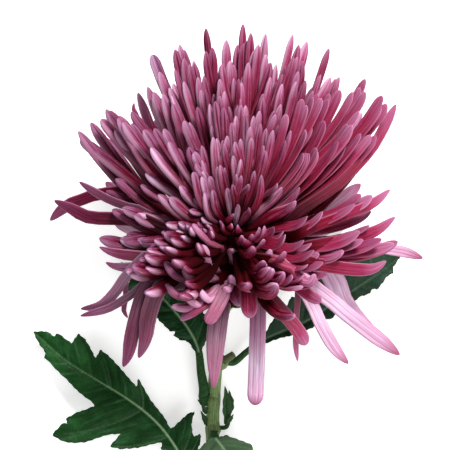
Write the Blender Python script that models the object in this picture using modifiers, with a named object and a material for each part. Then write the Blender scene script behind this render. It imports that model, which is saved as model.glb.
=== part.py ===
"""Disbud chrysanthemum: one large cut bloom with its stem and leaves, lying on its back on a table.

Metres, +Z up. +Y runs along the stem towards the bloom. The lowest points lie on Z = 0.
Points written in millimetres are measured from the head centre in plan, with height above the table,
unless a comment says otherwise.
"""
import bmesh
import bpy
import math
import random
from mathutils import Vector
from mathutils.geometry import delaunay_2d_cdt

MM = 0.001
GAP = 0.0003
SEED = 5

# The head: its centre is the point that the florets spread from, and its axis leans towards +Y.
HEAD_CENTRE = Vector((0.0044, 0.0138, 0.040))
HEAD_TILT = math.radians(40)
AXIS = Vector((0, math.sin(HEAD_TILT), math.cos(HEAD_TILT)))
BACK = Vector((0, math.cos(HEAD_TILT), -math.sin(HEAD_TILT)))
RIGHT = Vector((1, 0, 0))

# The dense florets stand on a golden-angle spiral, from the middle (share 0) to the rim (share 1). Their
# roots crowd round a point up the axis, and more of them stand at the back than at the front.
GOLDEN_ANGLE = math.radians(137.50776)
FLORET_COUNT = 236
BACK_SHARE = 0.25
ROOT_CENTRE = HEAD_CENTRE + AXIS * 12 * MM
ROOT_RADIUS = 8 * MM
INNER_REACH = 22 * MM
TYPICAL_REACH = 70 * MM
REACH_POWER = 0.65
SPACING = (4.4 * MM, 6.2 * MM)
FLORET_WIDTH = (3.6 * MM, 4.2 * MM)
KEEL_SHARE = 0.38
# A floret bows away from the axis at its bend: by this share of its length in the middle and at the rim,
# and at this share of the way to its tip. Its root is kept off the cup below.
FLORET_BULGE = (0.03, 0.17)
BEND_SHARE = 0.6
ROOT_POLAR_MAX = math.radians(95)
# Its end hooks back towards the axis from this share on: by how much anywhere, at the front and at the right.
HOOK_START = 0.66
HOOK = (0.5, 4.5, 4.0)
# How unevenly they grow: the azimuth's spread in radians, the tip's polar spread in degrees, the least
# and most change of the reach, and the most change of the bulge.
AZIMUTH_SPREAD = 0.06
POLAR_SPREAD = 1.9
REACH_CHANGE = (-0.10, 0.04)
BULGE_CHANGE = 0.4
# The head is filled evenly over this polar angle, in this many steps.
FILL_POLAR = math.radians(60)
FILL_STEPS = 400
# Shares along a floret from where it leaves the core, each with its share of the full width.
DENSE_SHAPE = ((0, 0.42), (0.5, 0.95), (0.92, 0.85), (1, 0))
LOOSE_SHAPE = ((0, 0.42), (0.3, 0.85), (0.62, 1.0), (0.86, 0.9), (0.96, 0.6), (1, 0))

# Rim of the dense head: azimuth in degrees from the back towards the right, polar angle of the
# outermost tips in degrees, and their distance from the head centre in millimetres.
RIM = (
    (0, 52, 88), (28, 54, 87), (52, 62, 86), (72, 74, 69), (95, 80, 60), (130, 70, 55), (165, 60, 50),
    (200, 60, 49), (235, 64, 50), (262, 74, 52), (280, 77, 55), (290, 72, 62), (303, 66, 77),
    (313, 62, 77), (323, 56, 72), (334, 53, 85), (360, 52, 88),
)
# How many of the florets grow, and how much wider they are at the rim, by azimuth. The share that grows
# falls from all of them in the middle of the head to this from here outwards.
CROWDING_FULL = 0.5
CROWDING = (
    (0, 0.9, 1.05), (30, 0.9, 1.05), (55, 0.85, 1.1), (75, 0.8, 1.15), (110, 0.85, 1.15), (135, 0.95, 1.1),
    (180, 1.0, 1.1), (225, 0.95, 1.1), (262, 0.85, 1.15), (290, 0.75, 1.15), (320, 0.75, 1.1),
    (345, 0.9, 1.05), (360, 0.9, 1.05),
)
# Places where the head parts: azimuth, half width in degrees, and the share at which the parting starts.
PARTINGS = ((66, 7.0, 0.52), (-39, 3.5, 0.74), (-61, 5.0, 0.66), (-78, 3.0, 0.80))
# The dark valley at the front: its middle azimuth, its half width, how far the florets beside it are
# pushed together, and the shares between which it is open.
VALLEY = (194, 10, 40)
VALLEY_SHARES = (0.12, 0.30, 0.80, 0.92)

# Outer florets that stand apart: azimuth and polar angle of the root in degrees, a point that it
# passes and the tip in millimetres from the head centre, and the width in millimetres.
OLD_FLORETS = (
    (172, 96, (8.2, -23, 30), (8, -49, 12), 5.6),
    (190, 98, (-7, -21.5, 30), (-7, -42, 14), 6.6),
    (178, 92, (5.6, -9, 34), (5.3, -16, 31), 6.0),
    (192, 92, (-5.6, -11.6, 35), (-11.3, -17.7, 32), 4.4),
    (158, 94, (17.8, -14, 30), (26.8, -26.8, 18), 4.9),
    (146, 92, (22.7, -7.4, 32), (31.3, -10, 30), 5.0),
    (120, 88, (21, 0.2, 36), (28.4, 1.2, 36), 5.0),
    (105, 90, (36.7, 1.8, 22), (55, 4.9, 12), 5.6),
    (90, 98, (55, 9.3, -4), (69, 4.2, -14), 4.6),
    (118, 98, (41, -11, 8), (55.7, -26.4, -10), 7.4),
    (128, 96, (40.7, -19, 16), (61.4, -31.8, 2), 6.4),
    (138, 97, (32, -22, 16), (43.2, -34.3, 4), 5.2),
    (150, 104, (23, -20, 8), (24.6, -34.3, -2), 3.0),
    (238, 98, (-40.4, -9.8, 14), (-56.3, -15.8, 6), 5.0),
    (250, 98, (-43.3, -4.8, 8), (-50, -13, 0), 4.4),
    (232, 104, (-40.6, -12, -2), (-40, -18, -10), 3.0),
    (222, 98, (-34.5, -20, 16), (-40.5, -36, 6), 4.8),
    (216, 98, (-30.4, -19.5, 18), (-35, -32.5, 4), 6.6),
    (252, 94, (-39, 2.2, 14), (-46.8, 2.9, 10), 4.2),
    (258, 92, (-40, 6.5, 18), (-48.6, 8.3, 16), 4.0),
    (283, 88, (-53.4, 29.5, -4), (-68.9, 18.5, -10), 4.8),
    (288, 86, (-47.6, 28, 4), (-57.4, 33, 2), 3.6),
    (276, 88, (-52.7, 20.6, 6), (-66.6, 26, 2), 4.8),
    (318, 96, (-35.2, 55.5, -22), (-38, 63.7, -24), 3.0),
)
OLD_FACE = Vector((0, -0.25, 1))

# The rows below the rim at the back of the head: count, azimuth to each side and polar angles in degrees,
# and reach in millimetres.
UNDER_ROWS = ((10, 58, 66, 77), (9, 64, 79, 73))
UNDER_WIDTH = 4.2 * MM
UNDER_BEND = math.radians(20)
UNDER_FACE = math.radians(-80)
UNDER_SPREAD = (1.5, 2.0)

# The florets below the back of the head that the bloom rests on: how far round to each side they stand,
# how far out their tips lie by turns, where they bend, and how far under the table they would reach if
# it didn't hold them up.
REST_COUNT = 13
REST_SIDE = math.radians(68)
REST_JITTER = math.radians(1.2)
REST_DISTANCE = (50 * MM, 60 * MM)
REST_WIDTH = 4.6 * MM
REST_BEND = 44 * MM
REST_POLAR = math.radians(84)
REST_DEPTH = 8 * MM
REST_FACE_RISE = 0.6
# The lowest line that a pressed floret's middle takes above the table, how softly it gets there, and
# the height from which it is left as it is, in softnesses.
FLOOR_SPINE = 0.6 * MM
FLOOR_SOFTNESS = 2.5 * MM
FLOOR_FAR = 20

# The dense core inside the head: polar angle in degrees and radius in millimetres, and the flat disc
# that closes it below.
CORE = ((0, 24), (20, 24), (40, 25), (60, 26), (75, 24), (90, 14))
CORE_POLARS = (6, 18, 30, 42, 54, 66, 78, 90)
CORE_SIDES = 20
DISC_RADIUS = 8 * MM
DISC_DROP = 4.5 * MM
# A floret starts this deep in the core, found in this many steps along it.
ROOT_DEPTH = 2.5 * MM
ROOT_STEPS = 60

# The green cup under the head: its radius at the rim and foot, its depth, and the shoulder between them
# as drops below its top with the share of the way from foot to rim.
CUP_SIDES = 20
CUP_RIM = 9.5 * MM
CUP_FOOT = 4.2 * MM
CUP_DEPTH = 10.5 * MM
CUP_SHOULDER = ((1.2 * MM, 1), (3 * MM, 1), (7 * MM, 0.6))
# Its bracts: count, drop of the foot, radius and drop of the tip in millimetres for each ring.
BRACT_RINGS = ((8, 7.0, 11.5, 3.0), (10, 9.8, 11.8, 0.6))
BRACT_FOOT = CUP_FOOT + 1 * MM
BRACT_KNEE = (0.45, 0.98)
BRACT_SHAPE = ((0, 0.7), (0.5, 1.0), (0.85, 0.6), (1, 0))
BRACT_WIDTH = 4.6 * MM
BRACT_KEEL = 0.24

# The stem, from the cup to its cut end. It leaves the cup square to it, then against the start
# direction, and narrows from the neck over the first steps.
STEM_RADIUS = 2.55 * MM
STEM_NECK = 3.1 * MM
STEM_STEPS = 4
NECK_STEPS = 12
SQUARE_LENGTH = 2.5 * MM
STEM_START = Vector((0.26, 0.62, 0.74))
NECK_LENGTH = 7 * MM
STEM_POINTS = (
    (-4.0, -22.6, 14.0), (-5.3, -30.6, 7.8), (-6.4, -40.4, 3.8), (-7.3, -50.0, 2.5),
    (-7.7, -60.0, 2.4), (-7.7, -75.0, 2.4), (-7.4, -95.0, 2.4), (-7.0, -118.0, 2.4),
)
# The swelling of the stem under each leaf: its centre and radius in millimetres.
KNOTS = {
    "leaf_right": ((-4.6, -36.8, 5.4), 3.1),
    "leaf_back_left": ((-7.6, -52.0, 2.9), 2.8),
    "leaf_front": ((-7.4, -63.0, 3.0), 3.0),
    "leaf_large_left": ((-8.0, -88.5, 2.7), 3.0),
}
# Scars and small scales on the stem: start, end, and the start and end radius, in millimetres.
STUBS = (
    ((-3.6, -36.2, 7.6), (0.4, -33.4, 9.0), 1.6, 1.4),
    ((-9.4, -54.0, 2.5), (-12.8, -51.8, 2.6), 0.9, 0.7),
    ((-9.4, -55.6, 2.7), (-12.0, -54.2, 3.0), 1.1, 0.8),
    ((-9.0, -65.0, 3.2), (-12.6, -58.6, 4.0), 1.0, 0.4),
)

LEAF_THICKNESS = 0.9 * MM
# The wave along a leaf's edge: turns along the rib and across the table, and where it is full.
WAVE_ALONG = 19
WAVE_ACROSS = 90
WAVE_FULL = 8 * MM
# The midrib lies under the blade, thins to its tip radius and ends short of the blade's tip.
RIB_DROP = 0.35 * MM
RIB_TIP = 0.5
RIB_THINNING = 1.25
RIB_REACH = 0.85
RIB_MARGIN = 0.4 * MM
RIB_STEPS = 3

# Each leaf: the stalk and midrib from near its knot to the tip, the outline from the left of the stalk
# round the tip to its right, the rise of the blade away from the midrib, the wave along its edge in
# millimetres, and the radius of the stalk in millimetres.
LEAVES = {
    "leaf_large_left": {
        "rib": ((-15.2, -85.0, 4.0), (-18.6, -77.6, 4.8), (-21.4, -71.2, 5.2), (-27.2, -62.8, 6.2),
                (-34.2, -55.8, 7.4), (-43.1, -49.3, 8.4), (-52.1, -43.8, 8.6), (-64.9, -35.8, 7.2),
                (-77.2, -25.4, 5.0)),
        "outline": (
            (-19.8, -78.6), (-24.0, -74.4), (-27.8, -70.4), (-27.7, -67.9), (-36.9, -69.9), (-43.1, -70.3),
            (-47.6, -69.1), (-43.6, -64.4), (-48.6, -64.6), (-57.3, -67.3), (-64.6, -67.1), (-69.9, -64.4),
            (-65.5, -59.7), (-63.8, -60.1), (-64.6, -58.2), (-60.3, -55.8), (-53.8, -53.4), (-54.1, -52.2),
            (-60.5, -47.3), (-66.5, -41.3), (-73.2, -34.8), (-72.8, -33.0), (-75.5, -29.3), (-77.7, -25.0),
            (-72.6, -24.6), (-69.3, -26.6), (-68.0, -25.3), (-62.6, -29.2), (-60.0, -25.6), (-57.1, -27.8),
            (-55.1, -31.2), (-53.1, -34.8), (-51.4, -31.7), (-47.6, -34.3), (-43.1, -39.1), (-37.3, -45.7),
            (-36.5, -42.6), (-31.8, -51.2), (-26.4, -58.2), (-24.0, -62.5), (-20.7, -59.7), (-17.8, -56.9),
            (-14.8, -55.9), (-15.8, -59.7), (-15.8, -62.6), (-15.0, -65.6), (-12.8, -64.4), (-12.3, -66.6),
            (-13.3, -70.0), (-15.4, -74.6), (-17.6, -78.2),
        ),
        "rise": 0.10, "wave": 0.9, "stalk": 1.5,
    },
    "leaf_back_left": {
        "rib": ((-11.0, -50.6, 5.8), (-11.2, -47.0, 6.8), (-12.3, -40.6, 6.8), (-13.6, -31.0, 6.6),
                (-18.0, -22.5, 7.4), (-25.5, -13.5, 8.0), (-33.0, -5.5, 7.4), (-42.6, 1.4, 5.8)),
        "outline": (
            (-14.4, -33.0), (-17.2, -28.7), (-20.7, -27.8), (-22.9, -26.1), (-22.5, -24.6), (-24.4, -24.4),
            (-28.4, -20.4), (-32.6, -16.0), (-35.6, -15.6), (-35.8, -11.4), (-41.4, -8.2), (-40.0, -4.6),
            (-43.4, 2.2), (-36.4, 1.2), (-33.4, 4.4), (-30.0, -0.4), (-24.6, 1.6), (-23.2, -4.8),
            (-17.4, -3.6), (-16.6, -10.6), (-10.4, -12.2), (-11.4, -17.6), (-6.4, -20.6), (-8.2, -25.8),
            (-10.4, -28.6), (-12.4, -32.8),
        ),
        "rise": 0.16, "wave": 0.9, "stalk": 1.6,
    },
    "leaf_right": {
        "rib": ((1.0, -36.6, 5.4), (5.6, -32.6, 6.6), (11.3, -28.2, 8.4), (19.4, -24.4, 10.2),
                (28.2, -20.6, 11.6), (43.3, -10.6, 13.0), (53.8, -3.6, 12.4), (64.4, 4.0, 10.0)),
        "outline": (
            (12.0, -26.2), (14.5, -21.5), (17.9, -16.9), (20.2, -15.6), (22.5, -10.8), (25.4, -11.6),
            (27.0, -3.6), (30.6, -5.4), (35.0, 2.6), (39.0, 0.0), (46.0, 7.6), (49.2, 4.4), (56.6, 9.2),
            (58.4, 6.4), (64.8, 4.4), (62.3, 0.6), (61.8, -2.0), (59.7, -3.1), (56.1, -7.7), (53.5, -8.2),
            (52.5, -9.8), (48.4, -11.3), (44.4, -15.4), (41.6, -15.2), (37.9, -19.6), (34.0, -19.4),
            (30.8, -22.9), (24.1, -25.5), (17.6, -27.4), (12.6, -29.2),
        ),
        "rise": 0.30, "wave": 0.8, "stalk": 1.2,
    },
    "leaf_front": {
        "rib": ((-6.8, -65.4, 9.6), (-3.2, -70.2, 10.8), (2.6, -78.4, 11.8),
                (8.2, -88.0, 10.4), (12.6, -97.0, 7.0), (15.4, -104.0, 3.4)),
        "outline": (
            (-9.4, -65.8), (-10.8, -67.8), (-13.6, -70.6), (-12.0, -73.0), (-12.8, -78.8), (-7.8, -79.6),
            (-7.6, -86.4), (-2.0, -86.0), (0.0, -93.4), (4.4, -92.4), (8.4, -100.0), (11.2, -99.4),
            (15.8, -104.6), (17.8, -98.0), (16.6, -94.8), (20.2, -90.4), (16.6, -86.4), (19.0, -80.6),
            (14.0, -77.8), (12.2, -71.4), (8.0, -71.0), (7.6, -68.2), (2.4, -66.4), (-2.6, -64.4),
            (-4.6, -65.2),
        ),
        "rise": 0.10, "wave": 0.7, "stalk": 1.3,
    },
}

# The young side shoot: its stalk, and its folded leaves as outline and height.
SHOOT_STALK = ((-2.4, -62.0, 3.8), (-1.6, -58.6, 4.2), (-2.0, -54.6, 4.6))
SHOOT_RADIUS = 1.1 * MM
SHOOT_STEPS = 2
SHOOT_SHAPE = ((0, 0.6), (0.35, 1.0), (0.75, 0.6), (1, 0))
SHOOT_KEEL = 0.4
SHOOT_FACE = Vector((0.3, 0, 1))
SHOOT_LEAVES = (
    (((-2.9, -58.6, 4.6), (-3.2, -54.0, 5.2), (-3.4, -49.0, 5.6)), 3.4),
    (((-1.4, -58.0, 4.0), (-0.5, -54.0, 4.2), (-0.4, -50.2, 4.4)), 3.2),
    (((-2.4, -60.8, 5.0), (-0.8, -58.4, 5.8), (0.8, -57.2, 6.2)), 1.8),
)

FLOOR_CUT_SIZE = 0.4
WELD = 0.00001
SHARP_ANGLE = math.radians(40)


def lerp(start, end, share):
    return start + (end - start) * share


def direction(polar, azimuth):
    """Unit vector at a polar angle from the head's axis, with azimuth 0 at the back and 90 at the right."""
    around = math.cos(azimuth) * BACK + math.sin(azimuth) * RIGHT
    return math.cos(polar) * AXIS + math.sin(polar) * around


def from_head(point):
    """A point in millimetres from the head centre."""
    return HEAD_CENTRE + Vector(point) * MM


def on_table(point):
    """A point in millimetres in plan from the head centre, and its height above the table."""
    x, y, z = point
    return Vector((HEAD_CENTRE.x + x * MM, HEAD_CENTRE.y + y * MM, z * MM))


def curve_point(controls, share):
    """A point on the Bezier curve with these control points."""
    while len(controls) > 1:
        controls = [a.lerp(b, share) for a, b in zip(controls, controls[1:])]
    return controls[0]


def bend_through(start, middle, end):
    """The control point that leads a curve from start to end through the middle point."""
    share = (middle - start).length / ((middle - start).length + (end - middle).length)
    return (middle - (1 - share) ** 2 * start - share ** 2 * end) / (2 * share * (1 - share))


def smooth_path(points, steps):
    """A smooth line through the points, with some steps between each two."""
    ends = [2 * points[0] - points[1], *points, 2 * points[-1] - points[-2]]
    line = []
    for before, start, end, after in zip(ends, ends[1:], ends[2:], ends[3:]):
        for step in range(steps):
            t = step / steps
            line.append(0.5 * (2 * start + (end - before) * t
                               + (2 * before - 5 * start + 4 * end - after) * t ** 2
                               + (3 * start - before - 3 * end + after) * t ** 3))
    return line + [points[-1]]


def make_material(name, colour, roughness):
    material = bpy.data.materials.new(name)
    material.use_nodes = True
    shader = material.node_tree.nodes["Principled BSDF"]
    shader.inputs["Base Color"].default_value = (*colour, 1)
    shader.inputs["Roughness"].default_value = roughness
    shader.inputs["Metallic"].default_value = 0
    return material


def set_material(item, material):
    item.data.materials.clear()
    item.data.materials.append(material)


def new_collection(name):
    collection = bpy.data.collections.new(name)
    bpy.context.scene.collection.children.link(collection)
    return collection


def add_object(name, mesh, collection):
    item = bpy.data.objects.new(name, mesh)
    collection.objects.link(item)
    return item


def mesh_from(name, bm):
    """A mesh from the working mesh, split into triangles, with its faces pointing out."""
    bmesh.ops.triangulate(bm, faces=bm.faces)
    bmesh.ops.recalc_face_normals(bm, faces=bm.faces)
    mesh = bpy.data.meshes.new(name)
    bm.to_mesh(mesh)
    bm.free()
    return mesh


def evaluated_copy(item):
    """A mesh of the object as its modifiers leave it."""
    depsgraph = bpy.context.evaluated_depsgraph_get()
    return bpy.data.meshes.new_from_object(item.evaluated_get(depsgraph))


def apply_boolean(item, operation, cutter=None, pieces=None, solver="EXACT"):
    """Apply one Boolean against an object or a collection."""
    boolean = item.modifiers.new(operation.title(), "BOOLEAN")
    boolean.operation = operation
    boolean.solver = solver
    if pieces is None:
        boolean.object = cutter
    else:
        boolean.operand_type = "COLLECTION"
        boolean.collection = pieces
    bpy.context.view_layer.update()
    mesh = evaluated_copy(item)
    item.modifiers.remove(boolean)
    item.data = mesh


def keep_main_body(mesh):
    """Fill the hollows that fusing sealed and drop loose scraps: only the largest shell of faces stays."""
    bm = bmesh.new()
    bm.from_mesh(mesh)
    unseen = set(bm.faces)
    shells = []
    while unseen:
        shell = {unseen.pop()}
        front = list(shell)
        while front:
            face = front.pop()
            for edge in face.edges:
                for beside in edge.link_faces:
                    if beside in unseen:
                        unseen.discard(beside)
                        shell.add(beside)
                        front.append(beside)
        shells.append(shell)
    main_shell = max(shells, key=len)
    rest = [face for face in bm.faces if face not in main_shell]
    bmesh.ops.delete(bm, geom=rest, context="FACES")
    bm.to_mesh(mesh)
    bm.free()


def join_pieces(item, pieces, solver="EXACT"):
    """Fuse the collection's objects into the object, and remove them."""
    apply_boolean(item, "UNION", pieces=pieces, solver=solver)
    keep_main_body(item.data)
    for piece in list(pieces.objects):
        bpy.data.objects.remove(piece)
    bpy.data.collections.remove(pieces)


def loft(name, rings, tip, collection):
    """A closed body through rings of points, ending in a tip point."""
    bm = bmesh.new()
    loops = [[bm.verts.new(point) for point in ring] for ring in rings]
    bm.faces.new(loops[0])
    for low, high in zip(loops, loops[1:]):
        for here in range(len(low)):
            after = (here + 1) % len(low)
            bm.faces.new((low[here], low[after], high[after], high[here]))
    end = bm.verts.new(tip)
    last = loops[-1]
    for here in range(len(last)):
        bm.faces.new((last[here], last[(here + 1) % len(last)], end))
    return add_object(name, mesh_from(name, bm), collection)


def blade_strand(name, spine, face, widths, keel, collection):
    """A boat-shaped strand: two rims on the side that the face vector looks to, and a keel on the other."""
    rings = []
    for index, (point, width) in enumerate(zip(spine[:-1], widths)):
        before = spine[max(index - 1, 0)]
        along = (spine[index + 1] - before).normalized()
        up = (face - face.dot(along) * along).normalized()
        side = along.cross(up)
        rings.append((point + side * width / 2, point - side * width / 2, point - up * width * keel))
    return loft(name, rings, spine[-1], collection)


def tube(name, points, radii, resolution, collection):
    """A closed round tube along the points, from a curve with filled caps."""
    curve = bpy.data.curves.new(name, "CURVE")
    curve.dimensions = "3D"
    curve.bevel_depth = 1.0
    curve.bevel_resolution = resolution
    curve.use_fill_caps = True
    spline = curve.splines.new("POLY")
    spline.points.add(len(points) - 1)
    for spline_point, point, radius in zip(spline.points, points, radii):
        spline_point.co = (*point, 1)
        spline_point.radius = radius
    source = add_object(name + "_curve", curve, collection)
    bpy.context.view_layer.update()
    mesh = evaluated_copy(source)
    bpy.data.objects.remove(source)
    bm = bmesh.new()
    bm.from_mesh(mesh)
    bmesh.ops.remove_doubles(bm, verts=bm.verts, dist=WELD)
    return add_object(name, mesh_from(name, bm), collection)


def by_azimuth(table, azimuth):
    """The two values of a table at an azimuth, eased between its rows."""
    degrees = math.degrees(azimuth) % 360
    for (start, *before), (end, *after) in zip(table, table[1:]):
        if start <= degrees <= end:
            share = (degrees - start) / (end - start)
            share = share * share * (3 - 2 * share)
            return [lerp(a, b, share) for a, b in zip(before, after)]
    return list(table[0][1:])


def part_azimuth(azimuth, share):
    """Move a floret sideways out of the head's partings."""
    for middle, half, start in PARTINGS:
        away = (math.degrees(azimuth) - middle + 180) % 360 - 180
        if abs(away) < half and share > start:
            azimuth += math.radians(math.copysign(half, away) - away)
    return azimuth


def open_valley(azimuth, share):
    """Push a floret of the front sideways, out of the dark valley."""
    middle, half, width = VALLEY
    away = (math.degrees(azimuth) - middle + 180) % 360 - 180
    start, open_from, open_to, end = VALLEY_SHARES
    opening = min(1, max(0, (share - start) / (open_from - start)), max(0, (end - share) / (end - open_to)))
    if abs(away) >= width or opening == 0:
        return azimuth
    pushed = half + abs(away) * (width - half) / width
    return azimuth + math.radians(opening * (math.copysign(pushed, away) - away))


def rim_shares(count):
    """Share of the way from the middle to the rim for each floret, closer together in the middle."""
    filled = [0.0]
    for step in range(FILL_STEPS):
        share = (step + 0.5) / FILL_STEPS
        reach = lerp(INNER_REACH, TYPICAL_REACH, share ** REACH_POWER)
        area = reach ** 2 * math.sin(share * FILL_POLAR) / lerp(*SPACING, share) ** 2
        filled.append(filled[-1] + area)
    shares = []
    step = 0
    for index in range(count):
        target = (index + 0.5) / count * filled[-1]
        while filled[step + 1] < target:
            step += 1
        part = (target - filled[step]) / (filled[step + 1] - filled[step])
        shares.append((step + part) / FILL_STEPS)
    return shares


def core_radius(polar):
    """Radius of the core at a polar angle from the head's axis."""
    degrees = math.degrees(polar)
    for (start, low), (end, high) in zip(CORE, CORE[1:]):
        if degrees <= end:
            return lerp(low, high, (degrees - start) / (end - start)) * MM
    return CORE[-1][1] * MM


def leave_core(controls):
    """Share along the curve where it comes out of the core, less the depth of its root."""
    share = 0
    for step in range(ROOT_STEPS):
        share = step / ROOT_STEPS
        away = curve_point(controls, share) - HEAD_CENTRE
        if away.length > core_radius(away.angle(AXIS)) - ROOT_DEPTH:
            break
    return share


def soft_floor(point):
    """The point, held softly above the table."""
    height = (point.z - FLOOR_SPINE) / FLOOR_SOFTNESS
    if height > FLOOR_FAR:
        return point
    return Vector((point.x, point.y, FLOOR_SPINE + FLOOR_SOFTNESS * math.log1p(math.exp(height))))


def add_floret(name, controls, face, width, collection, shape=DENSE_SHAPE, hook=0.0, on_floor=False):
    """One ray floret: narrow at its root, widest past the middle, with a rounded tip."""
    start = leave_core(controls)
    shares = [lerp(start, 1, along) for along, _ in shape]
    spine = [curve_point(controls, share) for share in shares]
    bent = [max(0, (share - HOOK_START) / (1 - HOOK_START)) ** 2 for share in shares]
    spine = [point + face * hook * part for point, part in zip(spine, bent)]
    if on_floor:
        spine = [soft_floor(point) for point in spine]
    widths = [width * share for _, share in shape[:-1]]
    return blade_strand(name, spine, face, widths, KEEL_SHARE, collection)


def add_dense_florets(collection):
    draw = random.Random(SEED)
    for index, share in enumerate(rim_shares(FLORET_COUNT)):
        turn = (index * GOLDEN_ANGLE + draw.gauss(0, AZIMUTH_SPREAD)) % (2 * math.pi)
        azimuth = part_azimuth(turn - BACK_SHARE * math.sin(turn), share)
        azimuth = open_valley(azimuth, share)
        kept, wider = by_azimuth(CROWDING, azimuth)
        if draw.random() > lerp(1, kept, min(1, share / CROWDING_FULL)):
            continue
        rim_polar, rim_reach = by_azimuth(RIM, azimuth)
        tip_polar = math.radians(share * rim_polar + draw.gauss(0, POLAR_SPREAD))
        reach = lerp(INNER_REACH, rim_reach * MM, share ** REACH_POWER) * (1 + draw.uniform(*REACH_CHANGE))
        root = ROOT_CENTRE + direction(min(tip_polar, ROOT_POLAR_MAX), azimuth) * ROOT_RADIUS
        tip = HEAD_CENTRE + direction(tip_polar, azimuth) * reach
        run = tip - root
        face = (AXIS - AXIS.project(run)).normalized()
        bulge = lerp(*FLORET_BULGE, share) * (1 + draw.uniform(-BULGE_CHANGE, BULGE_CHANGE))
        bend = root + BEND_SHARE * run - bulge * run.length * face
        everywhere, front, right = HOOK
        hook = everywhere + front * max(0, -math.cos(azimuth)) + right * max(0, math.sin(azimuth)) ** 2
        width = lerp(*FLORET_WIDTH, share) * lerp(1, wider, share)
        name = f"floret_{index:03d}"
        add_floret(name, [root, bend, tip], face, width, collection, hook=hook * share * MM)


def add_old_florets(collection):
    for index, (azimuth, polar, middle, tip, width) in enumerate(OLD_FLORETS):
        root_polar = min(math.radians(polar), ROOT_POLAR_MAX)
        root = HEAD_CENTRE + direction(root_polar, math.radians(azimuth)) * ROOT_RADIUS
        end = from_head(tip)
        bend = bend_through(root, from_head(middle), end)
        name = f"old_floret_{index:02d}"
        add_floret(name, [root, bend, end], OLD_FACE, width * MM, collection, LOOSE_SHAPE)


def add_under_florets(collection):
    """The rows under the back of the rim, which fill the head out towards the table."""
    draw = random.Random(SEED + 1)
    for row, (count, side, polar, reach) in enumerate(UNDER_ROWS):
        for index in range(count):
            azimuth_spread, polar_spread = UNDER_SPREAD
            azimuth = math.radians(lerp(-side, side, index / (count - 1)) + draw.gauss(0, azimuth_spread))
            azimuth = part_azimuth(azimuth, 1)
            tip_polar = math.radians(polar + draw.gauss(0, polar_spread))
            bend_polar = tip_polar + UNDER_BEND
            controls = [
                HEAD_CENTRE + direction(ROOT_POLAR_MAX, azimuth) * ROOT_RADIUS,
                HEAD_CENTRE + direction(bend_polar, azimuth) * BEND_SHARE * reach * MM,
                HEAD_CENTRE + direction(tip_polar, azimuth) * reach * MM,
            ]
            face = direction(tip_polar + UNDER_FACE, azimuth)
            name = f"under_floret_{row}_{index:02d}"
            add_floret(name, controls, face, UNDER_WIDTH, collection, on_floor=True)


def add_rest_florets(collection):
    """Reflexed florets under the back of the head, with their tips pressed along the table."""
    draw = random.Random(SEED + 2)
    for index in range(REST_COUNT):
        share = index / (REST_COUNT - 1)
        azimuth = lerp(-REST_SIDE, REST_SIDE, share) + draw.gauss(0, REST_JITTER)
        distance = REST_DISTANCE[index % 2]
        root = HEAD_CENTRE + direction(ROOT_POLAR_MAX, azimuth) * ROOT_RADIUS
        bend = HEAD_CENTRE + direction(REST_POLAR, azimuth) * REST_BEND
        tip = Vector((HEAD_CENTRE.x + math.sin(azimuth) * distance,
                      HEAD_CENTRE.y + math.cos(azimuth) * distance, -REST_DEPTH))
        away = Vector((math.sin(azimuth), math.cos(azimuth), REST_FACE_RISE))
        name = f"rest_floret_{index:02d}"
        add_floret(name, [root, bend, tip], away, REST_WIDTH, collection, LOOSE_SHAPE, on_floor=True)


def turned(name, profile, sides, collection):
    """A body turned about the head's axis, from (radius, height) pairs from its top to its bottom."""
    bm = bmesh.new()
    line = [bm.verts.new((radius, 0, height)) for radius, height in profile]
    for high, low in zip(line, line[1:]):
        bm.edges.new((high, low))
    mesh = bpy.data.meshes.new(name)
    bm.to_mesh(mesh)
    bm.free()
    source = add_object(name + "_profile", mesh, collection)
    screw = source.modifiers.new("Screw", "SCREW")
    screw.steps = sides
    screw.render_steps = sides
    screw.use_merge_vertices = True
    screw.merge_threshold = WELD
    bpy.context.view_layer.update()
    result = evaluated_copy(source)
    bpy.data.objects.remove(source)
    turn = Vector((0, 0, 1)).rotation_difference(AXIS).to_matrix().to_4x4()
    turn.translation = HEAD_CENTRE
    result.transform(turn)
    return add_object(name, result, collection)


def build_bloom(parts, material, floor):
    profile = [(0, core_radius(0))]
    for polar in map(math.radians, CORE_POLARS):
        radius = core_radius(polar)
        profile.append((radius * math.sin(polar), radius * math.cos(polar)))
    profile += [(DISC_RADIUS, -DISC_DROP), (0, -DISC_DROP)]
    bloom = turned("bloom", profile, CORE_SIDES, parts)
    florets = new_collection("florets")
    add_dense_florets(florets)
    add_old_florets(florets)
    add_under_florets(florets)
    add_rest_florets(florets)
    join_pieces(bloom, florets, solver="MANIFOLD")
    apply_boolean(bloom, "DIFFERENCE", cutter=floor, solver="MANIFOLD")
    set_material(bloom, material)


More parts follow.
